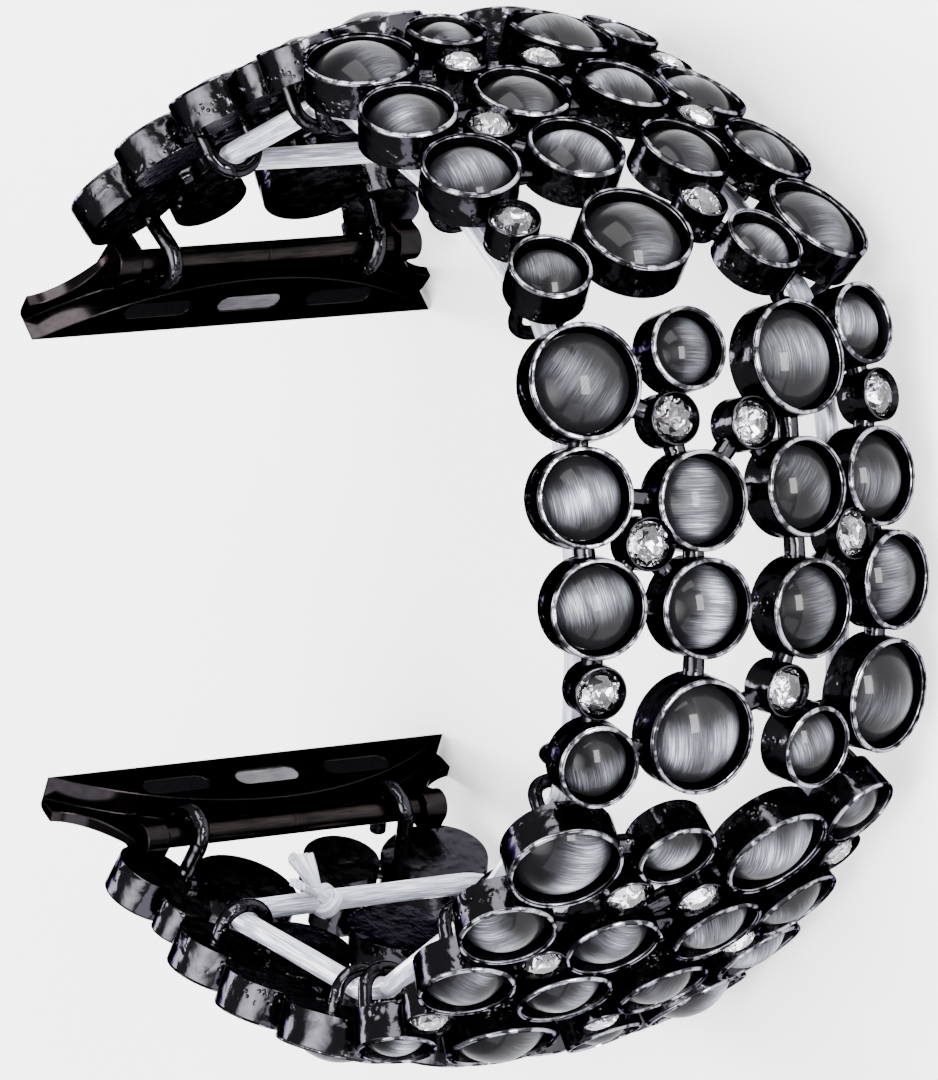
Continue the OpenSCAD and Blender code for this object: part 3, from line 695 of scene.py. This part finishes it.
@dataclass
class CatsEyeStones:
    """The sixteen cat's-eye cabochons of each plaque.

    Attributes:
        plan: The band's arcs and stone pattern.
        girdle: Height of the straight edge.
        rise_share: Rise of the dome as a share of the diameter.
        seat: Height of the cups' floors.
        segments: Faces round a stone.
        rings: Faces from pole to pole of the ball that its dome is cut from.
        foot_bevel: Bevel round the foot.
        edge_bevel: Bevel where the dome meets the straight edge.
        directions: Directions of the fibres, in degrees, before a small turn of each stone's own.
        tones: Darkest and lightest tone.
        draws: Seeded source of each stone's fibre direction and tone.
    """

    plan: BandPlan
    girdle: float = 0.7
    rise_share: float = 0.27
    seat: float = 0.9
    segments: int = 48
    rings: int = 64
    foot_bevel: float = 0.15
    edge_bevel: float = 0.1
    directions: tuple[float, ...] = (0.0, 12.0, 75.0, 90.0, 100.0, 140.0)
    tones: tuple[float, float] = (0.12, 0.46)
    draws: random.Random = field(default_factory=lambda: random.Random(41))

    def blank(self, kind: Kind) -> bpy.types.Object:
        """Makes a stone of one kind, standing on the origin, in millimetres.

        Args:
            kind: The stone's kind.

        Returns:
            The stone, with a smooth dome.
        """
        rise = kind.value * self.rise_share
        dome = (kind.value ** 2 / 4 + rise ** 2) / (2 * rise)
        take_up()
        bpy.ops.mesh.primitive_uv_sphere_add(segments=self.segments, ring_count=self.rings, radius=dome,
                                             location=(0, 0, self.girdle + rise - dome))
        stone = bpy.context.active_object
        bpy.ops.object.transform_apply(location=True)
        with editing(stone, "EDGE"):
            bpy.ops.mesh.select_all(action="SELECT")
            bpy.ops.mesh.bisect(plane_co=(0, 0, self.girdle), plane_no=(0, 0, 1), clear_inner=True)
            bpy.ops.mesh.extrude_region_move(TRANSFORM_OT_translate={"value": (0, 0, -self.girdle)})
            bpy.ops.mesh.edge_face_add()
            for height, offset, segments in ((0, self.foot_bevel, 2), (self.girdle, self.edge_bevel, 3)):
                pick_edges(stone, lambda e, z=height: all(abs(v.co.z - z) < 0.001 for v in e.verts))
                bpy.ops.mesh.bevel(offset=offset, segments=segments, affect="EDGES")
        smoothed(stone, 40)
        return stone

    def grain(self, piece: bpy.types.Object, kind: Kind) -> None:
        """Gives a stone its own fibre direction and tone, the place of its painted cat's-eye band,
        and its distance from the middle, which sets the painted shade towards its girdle.

        Args:
            piece: The stone, standing on the origin.
            kind: Its kind.
        """
        angle = self.draws.choice(self.directions) + self.draws.uniform(-10, 10)
        turn = Matrix.Rotation(math.radians(angle), 2)
        start = Vector((self.draws.uniform(0, 60), self.draws.uniform(0, 60)))
        tone = self.draws.uniform(*self.tones)
        mesh = piece.data
        fibre = mesh.uv_layers.new(name="Fibre")
        for loop in mesh.loops:
            fibre.data[loop.index].uv = turn @ mesh.vertices[loop.vertex_index].co.xy + start
        tones = mesh.attributes.new("Tone", "FLOAT", "POINT")
        edges = mesh.attributes.new("Edge", "FLOAT", "POINT")
        painted_eye_bands = mesh.attributes.new("Band", "FLOAT", "POINT")
        aside = self.draws.uniform(-0.3, 0.3)
        for vertex in mesh.vertices:
            flat = vertex.co.xy / (kind.value / 2)
            tones.data[vertex.index].value = tone
            # Distance from the middle, which sets the painted shade towards the girdle.
            edges.data[vertex.index].value = flat.length
            # Painted cat's-eye band: brightest on a line across the fibres, shifted aside from the middle.
            painted_eye_bands.data[vertex.index].value = 1 - ((turn @ flat).x - aside) ** 2

    def build(self, material: bpy.types.Material) -> None:
        """Builds the stones of all five plaques.

        Args:
            material: The stones' glass.
        """
        blanks = {kind: self.blank(kind) for kind in (Kind.LARGE, Kind.MEDIUM, Kind.SMALL)}
        for plaque in range(1, 6):
            stones = []
            for setting in self.plan.settings():
                if setting.kind is Kind.CRYSTAL:
                    continue
                stone = copied(blanks[setting.kind], "stone", Matrix.Identity(4))
                self.grain(stone, setting.kind)
                place = self.plan.stand(plaque, setting.u, setting.v, self.seat)
                stone.data.transform(to_metres(place))
                stones.append(stone)
            piece = joined(stones, f"cats_eye_stones_{plaque}")
            dress(piece, material)
            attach(piece, f"plaque_{plaque}")
            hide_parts(f"plaque_{plaque}_cabochons")
            log.info("%s: %d stones", piece.name, len(stones))
        for blank in blanks.values():
            bpy.data.objects.remove(blank)


@dataclass
class Rhinestones:
    """The seven foiled rhinestones of each plaque.

    Attributes:
        plan: The band's arcs and stone pattern.
        seat: Height of the cups' floors.
        draws: Seeded source of each stone's turn.
    """

    plan: BandPlan
    seat: float = 0.9
    draws: random.Random = field(default_factory=lambda: random.Random(7))

    def blank(self) -> bpy.types.Object:
        """Makes one rhinestone, standing on the origin, in millimetres.

        Returns:
            The stone, its back facets in the second slot.
        """
        girdle = Kind.CRYSTAL.value / 2
        # Corners, turn, radius and height of each ring of corners.
        rings = ((16, 0.0, girdle, 1.0), (16, 0.0, girdle, 0.88), (8, 22.5, girdle * 0.8, 1.3),
                 (8, 0.0, girdle * 0.56, 1.5), (8, 22.5, girdle * 0.55, 0.38), (8, 0.0, 0.12, 0.02))
        take_up()
        bpy.ops.mesh.primitive_circle_add(vertices=rings[0][0], radius=rings[0][2], location=(0, 0, 0))
        stone = bpy.context.active_object
        with editing(stone):
            bpy.ops.mesh.delete(type="VERT")
            for count, turn, radius, height in rings:
                bpy.ops.mesh.primitive_circle_add(vertices=count, radius=radius, location=(0, 0, height),
                                                  rotation=(0, 0, math.radians(turn)))
            bpy.ops.mesh.select_all(action="SELECT")
            bpy.ops.mesh.convex_hull(join_triangles=True, face_threshold=math.radians(1),
                                     shape_threshold=math.radians(1))
        for face in stone.data.polygons:
            face.material_index = 1 if face.normal.z < -0.1 else 0
            face.use_smooth = False
        return stone

    def build(self, glass: bpy.types.Material, foil: bpy.types.Material) -> None:
        """Builds the rhinestones of all five plaques.

        Args:
            glass: The cut glass.
            foil: The foil on its back.
        """
        blank = self.blank()
        blank.data.materials.append(glass)
        blank.data.materials.append(foil)
        for plaque in range(1, 6):
            stones = []
            for setting in self.plan.settings():
                if setting.kind is not Kind.CRYSTAL:
                    continue
                place = self.plan.stand(plaque, setting.u, setting.v, self.seat)
                place = place @ Matrix.Rotation(self.draws.uniform(0, math.tau), 4, "Z")
                stones.append(copied(blank, "stone", to_metres(place)))
            piece = joined(stones, f"rhinestones_{plaque}")
            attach(piece, f"plaque_{plaque}")
            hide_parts(f"plaque_{plaque}_rhinestones")
            log.info("%s: %d stones", piece.name, len(stones))
        bpy.data.objects.remove(blank)


# --- Elastic ---


@dataclass
class Elastic:
    """The loop of fibrous elastic: a run on each plaque, a stretch over each joint, and the knot.

    Attributes:
        plan: The band's arcs.
        radius: Radius of the cord.
        depth: Height of the cord's middle above the back, below zero.
        side: Distance of the eyelets from the band's middle line.
        near_v: Eyelets' places down the band on the near side.
        far_v: Eyelets' places down the band on the far side.
        sides: Faces round the cord.
        strands: Bundles that show round the cord.
        crossing: Distance from a middle eyelet to the cord that crosses behind an end plaque.
        past_eyelet: How far the cord stops short of the middle eyelet before it turns to cross.
        corner: Size of the turn into the crossing.
        corner_reach: How far inwards the turn ends.
        corner_dip: How far the cord leaves the back at the turn's end.
        crossing_dip: How far it leaves the back halfway across.
        knot_u: Knot's place across the band.
        knot_dip: Knot's distance from the cord's depth.
        knot_size: Scale of the overhand knot's curve.
        knot_radius: Radius of the cord drawn tight in the knot.
        tufts: Turn and lean of each frayed end, in degrees.
        strands_per_tuft: Strands in a frayed end.
        strand_radius: Radius of a strand.
        strand_lengths: Shortest and longest strand.
        fan: How far to each side a frayed end spreads, in degrees.
    """

    plan: BandPlan
    radius: float = 0.7
    depth: float = -1.78
    side: float = 10.3
    near_v: tuple[float, float, float] = (-12.1, 2.05, 12.9)
    far_v: tuple[float, float, float] = (-12.6, 2.1, 12.1)
    sides: int = 40
    strands: int = 8
    crossing: float = 1.7
    past_eyelet: float = 0.45
    corner: float = 0.35
    corner_reach: float = 1.4
    corner_dip: float = 0.3
    crossing_dip: float = 1.2
    knot_u: float = -3.0
    knot_dip: float = 1.1
    knot_size: float = 0.29
    knot_radius: float = 0.58
    tufts: tuple[tuple[float, float], ...] = ((88, 62), (138, 44), (196, 60))
    strands_per_tuft: int = 30
    strand_radius: float = 0.14
    strand_lengths: tuple[float, float] = (2.7, 3.0)
    fan: float = 13.0

    def swept(self, path: Sequence[Vector], radius: float, name: str, ridge: float = 0.035,
              start_mm: float = 0.0) -> bpy.types.Object:
        """Sweeps the ridged cord along a smooth path.

        Args:
            path: Points in millimetres.
            radius: Radius of the cord.
            name: Name of the piece.
            ridge: Height of the bundles' ridges.
            start_mm: Where the lay starts along the cord.

        Returns:
            The closed tube, in metres.
        """
        vertices, uvs, faces = [], [], []
        side = None
        length = start_mm
        for k, here in enumerate(path):
            ahead = (path[min(k + 1, len(path) - 1)] - path[max(k - 1, 0)]).normalized()
            if side is None:
                side = ahead.cross(Vector((0, 0, 1)) if abs(ahead.z) < 0.9 else Vector((1, 0, 0)))
            side = (side - ahead * side.dot(ahead)).normalized()
            other = ahead.cross(side)
            length += (here - path[k - 1]).length if k else 0
            for j in range(self.sides):
                angle = math.tau * j / self.sides
                reach = radius - ridge * (0.5 - 0.5 * math.cos(self.strands * angle + 0.5 * length))
                vertices.append((here + reach * (math.cos(angle) * side + math.sin(angle) * other)) * MM)
                uvs.append((math.tau * radius * j / self.sides, length))
        rings = len(path)
        for k in range(rings - 1):
            for j in range(self.sides):
                a, b = k * self.sides + j, k * self.sides + (j + 1) % self.sides
                faces.append((a, b, b + self.sides, a + self.sides))
        faces.append(tuple(reversed(range(self.sides))))
        faces.append(tuple((rings - 1) * self.sides + j for j in range(self.sides)))
        mesh = bpy.data.meshes.new(name)
        mesh.from_pydata(vertices, [], faces)
        lay = mesh.uv_layers.new(name="Lay")
        for face in mesh.polygons:
            wraps = len(face.vertices) == 4 and face.vertices[1] % self.sides == 0
            for loop in face.loop_indices:
                vertex = mesh.loops[loop].vertex_index
                u, v = uvs[vertex]
                if wraps and vertex % self.sides == 0:
                    u = math.tau * radius
                lay.data[loop].uv = (u, v)
        piece = placed(name, mesh)
        with editing(piece, "FACE"):
            bpy.ops.mesh.select_all(action="SELECT")
            bpy.ops.mesh.normals_make_consistent(inside=False)
        return smoothed(piece, 50)

    @staticmethod
    def rounded(points: Sequence[Vector], step: float = 0.5, bend: float = 1.0) -> list[Vector]:
        """Rounds a path's corners and divides it into short steps.

        Args:
            points: The path's corners.
            step: Length of a step.
            bend: How far from a corner it starts to turn.

        Returns:
            The points of the smooth path.
        """
        path = [points[0]]
        for before, here, after in zip(points, points[1:], points[2:]):
            reach = min(bend, (here - before).length / 2.1, (after - here).length / 2.1)
            start = here + (before - here).normalized() * reach
            end = here + (after - here).normalized() * reach
            for k in range(7):
                t = k / 6
                path.append(start * (1 - t) ** 2 + here * (2 * t * (1 - t)) + end * t ** 2)
        path.append(points[-1])
        fine = [path[0]]
        for a, b in zip(path, path[1:]):
            count = max(1, round((b - a).length / step))
            fine.extend(a.lerp(b, k / count) for k in range(1, count + 1))
        return fine

    def at(self, plaque: int, side: int, v: float) -> Vector:
        """Returns the cord's middle on one side of a plaque."""
        return self.plan.point(plaque, side * self.side, v, self.depth)

    def places(self, side: int) -> tuple[float, float, float]:
        """Returns the eyelets' places down the band on one side."""
        return self.near_v if side < 0 else self.far_v

    def loop_path(self, plaque: int) -> list[Vector]:
        """Lays the path on an end plaque: along one side, across the back and along the other.

        Args:
            plaque: The plaque's number, 1 or 5.

        Returns:
            The path's corners, in millimetres.
        """
        s, end = (-1, 0) if plaque == 5 else (1, 2)
        turn = s * self.crossing
        halves = []
        for side in (-1, 1):
            v = self.places(side)
            halves.append([
                self.at(plaque, side, v[end]),
                self.at(plaque, side, v[1] - s * self.past_eyelet),
                self.plan.point(plaque, side * (self.side - self.corner), v[1] - turn + s * self.corner,
                                self.depth),
                self.plan.point(plaque, side * (self.side - self.corner_reach), v[1] - turn,
                                self.depth - self.corner_dip),
            ])
        middle = self.plan.point(plaque, 0, (self.near_v[1] + self.far_v[1]) / 2 - turn,
                                 self.depth - self.crossing_dip)
        return [*halves[0], middle, *reversed(halves[1])]

    def finish(self, pieces: Sequence[bpy.types.Object], name: str, material: bpy.types.Material,
               node: str) -> bpy.types.Object:
        """Joins and dresses stretches of cord that stand for a CAD node, and hides the node.

        Args:
            pieces: The stretches of cord.
            name: Name of the joined piece.
            material: The cord's material.
            node: The CAD node that it stands for.

        Returns:
            The joined piece.
        """
        piece = joined(pieces, name)
        dress(piece, material)
        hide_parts(node)
        log.info("%s", name)
        return piece

    def runs(self, material: bpy.types.Material) -> None:
        """Builds the run on each plaque, from its first eyelets to its last.

        Args:
            material: The cord's material.
        """
        for plaque in range(1, 6):
            if plaque in (1, 5):
                tubes = [self.swept(self.rounded(self.loop_path(plaque), 0.35, 0.9), self.radius, "cord")]
            else:
                tubes = []
                for side in (-1, 1):
                    points = [self.at(plaque, side, v) for v in self.places(side)]
                    tubes.append(self.swept(self.rounded(points), self.radius, "cord", start_mm=9.0 * side))
            piece = self.finish(tubes, f"elastic_cord_{plaque}", material, f"elastic_run_{plaque}")
            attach(piece, f"plaque_{plaque}")

    def stretches(self, material: bpy.types.Material) -> None:
        """Builds the cord over each joint: a bending half and a stretching half.

        Args:
            material: The cord's material.
        """
        for upper in range(1, 5):
            lower = upper + 1
            inner, outer = (lower, upper) if upper < 3 else (upper, lower)
            ends = {}
            for side in (-1, 1):
                places = self.places(side)
                pair = (self.at(upper, side, places[2]), self.at(lower, side, places[0]))
                ends[side] = pair[::-1] if inner == lower else pair
            bent, pulled = [], []
            for side, (start, end) in ends.items():
                middle = start.lerp(end, 0.5)
                for tubes, a, b, lay in ((bent, start, middle, 3.0), (pulled, middle, end, 5.0)):
                    path = self.rounded([a, b], 0.2)
                    tubes.append(self.swept(path, self.radius, "cord", start_mm=lay * side))
            start, end = ((ends[-1][k] + ends[1][k]) / 2 * MM for k in (0, 1))
            middle = start.lerp(end, 0.5)
            bend = self.finish(bent, f"elastic_bend_{upper}{lower}", material,
                               f"elastic_bridge_{upper}{lower}")
            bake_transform(bend)
            pull = joined(pulled, f"elastic_stretch_{upper}{lower}")
            dress(pull, material)
            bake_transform(pull)

    def knot(self, material: bpy.types.Material) -> None:
        """Builds the overhand knot behind the last plaque, with its three frayed ends.

        Args:
            material: The cord's material.
        """
        draws = random.Random(11)
        v = (self.near_v[1] + self.far_v[1]) / 2 + self.crossing
        place = self.plan.stand(5, self.knot_u, v, self.depth - self.knot_dip)
        place = place @ Matrix.Rotation(math.pi, 4, "X")
        path = []
        for k in range(91):
            t = math.tau * k / 90
            path.append(Vector((math.sin(t) + 2 * math.sin(2 * t), math.cos(t) - 2 * math.cos(2 * t),
                                -1.1 * math.sin(3 * t))) * self.knot_size)
        tubes = [self.swept([place @ p for p in path], self.knot_radius, "knot", 0.03)]
        whole = self.sides
        self.sides = 6
        for turn, lean in self.tufts:
            for _ in range(self.strands_per_tuft):
                spread = draws.uniform(-self.fan, self.fan)
                tilt = math.radians(lean + draws.uniform(-4, 4))
                angle = math.radians(turn + spread)
                way = Vector((math.sin(tilt) * math.cos(angle), math.sin(tilt) * math.sin(angle),
                              math.cos(tilt)))
                root_angle = math.radians(turn + spread * 0.3)
                root = Vector((math.cos(root_angle), math.sin(root_angle), 0.45)) * 0.7
                length = draws.uniform(*self.strand_lengths)
                hair = [place @ (root + way * length * k / 4 + Vector((0, 0, 0.06 * math.sin(k))))
                        for k in range(5)]
                tubes.append(self.swept(hair, self.strand_radius, "end", 0.0, draws.uniform(0, 30)))
        self.sides = whole
        piece = self.finish(tubes, "elastic_knot_and_ends", material, "elastic_knot")
        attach(piece, "plaque_5")

    def build(self, material: bpy.types.Material) -> None:
        """Builds the whole loop.

        Args:
            material: The cord's material.
        """
        self.runs(material)
        self.stretches(material)
        self.knot(material)


# --- Castings and adapters ---


@dataclass
class Castings:
    """The five cast plaques, which keep their solids and get their plating."""

    plan: BandPlan

    def build(self) -> None:
        """Dresses the castings."""
        for plaque in range(1, 6):
            dress(frame["nodes"][f"plaque_{plaque}_casting"], BlackNickelCasting(plaque).made(self.plan))
            log.info("plaque_%d_casting dressed", plaque)


@dataclass
class Adapters:
    """The two watch adapters with their latch buttons and spring bars."""

    def build(self) -> None:
        """Dresses the adapters' pieces."""
        rubber = MouldedRubber().made()
        finish = {
            "adapter_body": Plated.ADAPTER.made(),
            "adapter_pads": rubber,
            "latch_button": Plated.BUTTON.made(),
            "bar_tube": Plated.TUBE.made(),
        }
        finish["bar_plunger_near"] = finish["bar_plunger_far"] = Plated.PLUNGER.made()
        for side in ("upper", "lower"):
            for name, material in finish.items():
                dress(frame["nodes"][f"{side}_{name}"], material)
            log.info("%s adapter dressed", side)


@dataclass
class Springs:
    """The small wound springs, which shorten as a latch button or a spring bar's plunger is pressed.

    Attributes:
        latch_ways: The way each latch button travels, by adapter.
        merge_mm: Distance under which the solid's loose corners are merged.
        cut_mm: How far from a bar spring's middle it is halved, so that no corner lies on the cut.
    """

    latch_ways: dict[str, tuple[float, float, float]] = field(default_factory=lambda: {
        "upper": (-0.630527, 0.776167, 0.0),
        "lower": (-0.510453, -0.859906, 0.0),
    })
    merge_mm: float = 0.0005
    cut_mm: float = 0.017

    def coil(self, node: str, name: str, material: bpy.types.Material) -> bpy.types.Object:
        """Makes a merged copy of a spring's solid.

        Args:
            node: The CAD node.
            name: Name of the copy.
            material: The spring wire's material.

        Returns:
            The copy, at the origin.
        """
        source = frame["nodes"][node]
        piece = copied(source, name, source.matrix_world)
        with editing(piece):
            bpy.ops.mesh.select_all(action="SELECT")
            bpy.ops.mesh.remove_doubles(threshold=self.merge_mm * MM)
        smoothed(piece, 50)
        dress(piece, material)
        return piece

    @staticmethod
    def ends(piece: bpy.types.Object, way: Vector) -> tuple[Vector, Vector]:
        """Finds the first and last points of a piece along a direction, on its middle line.

        Args:
            piece: The piece.
            way: The direction, of length 1.

        Returns:
            The two points, the lower one first.
        """
        corners = [corner.co for corner in piece.data.vertices]
        middle = sum(corners, Vector()) / len(corners)
        reach = [(corner - middle).dot(way) for corner in corners]
        return middle + way * min(reach), middle + way * max(reach)

    def latch(self, side: str, material: bpy.types.Material) -> None:
        """Builds the spring between a latch button and its adapter.

        Args:
            side: The adapter, upper or lower.
            material: The wire's material.
        """
        node = f"{side}_latch_spring"
        piece = self.coil(node, f"{side}_latch_coil", material)
        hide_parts(node)
        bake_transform(piece)
        log.info("%s", piece.name)

    def bar(self, side: str, material: bpy.types.Material) -> None:
        """Builds the two halves of the spring between a spring bar's plungers.

        Args:
            side: The adapter, upper or lower.
            material: The wire's material.
        """
        node = f"{side}_bar_spring"
        for end_name, sign in (("near", 1), ("far", -1)):
            piece = self.coil(node, f"{side}_bar_coil_{end_name}", material)
            far, near = self.ends(piece, Vector((0, 0, 1)))
            middle = (near + far) / 2 + Vector((0, 0, self.cut_mm * MM))
            with editing(piece):
                bpy.ops.mesh.select_all(action="SELECT")
                bpy.ops.mesh.bisect(plane_co=middle, plane_no=(0, 0, sign), clear_inner=True, threshold=1e-8)
                bpy.ops.mesh.select_all(action="SELECT")
                bpy.ops.mesh.fill_holes(sides=0)
                bpy.ops.mesh.select_all(action="SELECT")
                bpy.ops.mesh.normals_make_consistent(inside=False)
            if end_name == "near":
                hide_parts(node)
            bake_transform(piece)
            log.info("%s", piece.name)

    def build(self, material: bpy.types.Material) -> None:
        """Builds every spring.

        Args:
            material: The wire's material.
        """
        for side in self.latch_ways:
            self.latch(side, material)
            self.bar(side, material)


# --- Studio ---


@dataclass(frozen=True)
class Softbox:
    """A rectangular light that faces the band.

    Attributes:
        name: Name of the light.
        way: Direction from the band in the row's frame.
        size: Width and height in metres.
        power: Power in watts.
        colour: Colour as sRGB hex.
        distance: Distance from the band in metres.
        spread: Angle within which its cloth shines, in degrees. A smaller one softens its edges.
    """

    name: str
    way: tuple[float, float, float]
    size: tuple[float, float]
    power: float
    colour: str = "#ffffff"
    distance: float = 0.45
    spread: float = 180.0


@dataclass
class Studio:
    """Camera, pale floor and soft lights.

    Attributes:
        plan: The band's arcs, which the camera's target is measured from.
        azimuth: Camera's turn about the picture's upright, from the wrist's axis.
        elevation: Camera's rise above that plane.
        roll: Camera's turn about its own axis.
        distance: Distance to the target, in millimetres.
        focal_px: Focal length in pixels of the 938 by 1080 frame.
        aim: Offset of the target to the right and up, in millimetres.
        frame_height_px: Height of that frame.
        sensor_mm: Height of the sensor.
        floor_size: Side of the floor, in metres.
        paper_mm: Size of the paper floor's faint clouds.
        surroundings: Strength of the dim white surroundings.
        softboxes: The lights.
    """

    plan: BandPlan
    azimuth: float = 55.83
    elevation: float = 4.29
    roll: float = -2.54
    distance: float = 501.0
    focal_px: float = 8369.0
    aim: tuple[float, float] = (-16.10, 0.37)
    frame_height_px: int = 1080
    sensor_mm: float = 24.0
    floor_size: float = 12.0
    paper_mm: float = 60.0
    surroundings: float = 0.58
    softboxes: tuple[Softbox, ...] = (
        Softbox("right_softbox", (0.99, 0.12, 0.11), (0.26, 0.12), 8.6),
        Softbox("top_softbox", (0.35, 0.85, 0.40), (0.40, 0.24), 4.4),
        Softbox("near_softbox", (0.32, -0.10, 0.95), (0.70, 1.20), 8.5, distance=0.75, spread=65),
        Softbox("lower_softbox", (0.55, -0.75, 0.35), (0.40, 0.25), 1.9, "#f2f2ff"),
        Softbox("left_strip", (-0.88, 0.15, 0.42), (0.10, 0.36), 4.5),
    )

    def axes(self) -> tuple[Vector, Vector, Vector]:
        """Returns the camera's right, up and backward directions."""
        az, el, roll = (math.radians(a) for a in (self.azimuth, self.elevation, self.roll))
        back = Vector((math.cos(el) * math.sin(az), math.sin(el), math.cos(el) * math.cos(az)))
        right = Vector((0, 1, 0)).cross(back).normalized()
        up = back.cross(right)
        turned = right * math.cos(roll) + up * math.sin(roll)
        return turned, up * math.cos(roll) - right * math.sin(roll), back

    def target(self) -> Vector:
        """Returns the point on the third plaque's back that the camera is measured from."""
        return self.plan.origin() + Vector((self.plan.band_radius, 0, 0))

    def camera(self) -> None:
        """Makes the camera at the photograph's viewing angle."""
        right, up, back = self.axes()
        data = bpy.data.cameras.new("photo_camera")
        data.sensor_fit = "VERTICAL"
        data.sensor_height = self.sensor_mm
        data.lens = self.focal_px * self.sensor_mm / self.frame_height_px
        data.clip_start, data.clip_end = 0.01, 20
        camera = placed("photo_camera", data)
        place = self.target() + right * self.aim[0] + up * self.aim[1] + back * self.distance
        turn = Matrix((right, up, back)).transposed().to_4x4()
        camera.matrix_world = Matrix.Translation(place * MM) @ turn
        bpy.context.scene.camera = camera

    def light(self, box: Softbox) -> None:
        """Makes a softbox.

        Args:
            box: The light's sizes and place.
        """
        data = bpy.data.lights.new(box.name, "AREA")
        data.shape = "RECTANGLE"
        data.size, data.size_y = box.size
        data.energy = box.power
        data.spread = math.radians(box.spread)
        data.color = srgb(box.colour)[:3]
        light = placed(box.name, data)
        direction = Vector(box.way).normalized()
        light.location = Vector((0, 0, self.plan.origin().z * MM)) + direction * box.distance
        light.rotation_euler = direction.to_track_quat("Z", "Y").to_euler()

    def floor(self) -> None:
        """Makes the pale floor."""
        take_up()
        bpy.ops.mesh.primitive_plane_add(size=self.floor_size)
        plane = bpy.context.active_object
        plane.name = "pale_floor"
        tree = Tree("Pale paper floor")
        clouds = tree.put("TexNoise", {"Vector": tree.place_mm(), "Scale": 1 / self.paper_mm, "Detail": 2.0})
        colour = tree.put("ValToRGB", {"Fac": clouds}, stops=[(0.3, "#f6f6f7"), (0.7, "#f9f9fa")])
        dress(plane, tree.finished(tree.put("BsdfPrincipled", {
            "Base Color": colour, "Roughness": 0.9, "Specular IOR Level": 0.1})))

    def world(self) -> None:
        """Makes the dim surroundings."""
        world = bpy.data.worlds.new("studio")
        world.use_nodes = True
        world.node_tree.nodes["Background"].inputs["Color"].default_value = srgb("#ffffff")
        world.node_tree.nodes["Background"].inputs["Strength"].default_value = self.surroundings
        bpy.context.scene.world = world

    def build(self) -> None:
        """Builds the studio."""
        self.camera()
        self.floor()
        self.world()
        for box in self.softboxes:
            self.light(box)


def main() -> None:
    """Builds the studio, then the band from its castings outwards, and reports each piece."""
    logging.basicConfig(level=logging.INFO, format="%(message)s")
    plan = BandPlan()
    Studio(plan).build()
    Elastic(plan).build(CrystalElastic().made())
    Castings(plan).build()
    CatsEyeStones(plan).build(CatsEyeGlass().made())
    Rhinestones(plan).build(CutGlass().made(), SilverFoil().made())
    Adapters().build()
    Springs().build(Plated.SPRING.made())


if __name__ == "__main__":
    main()
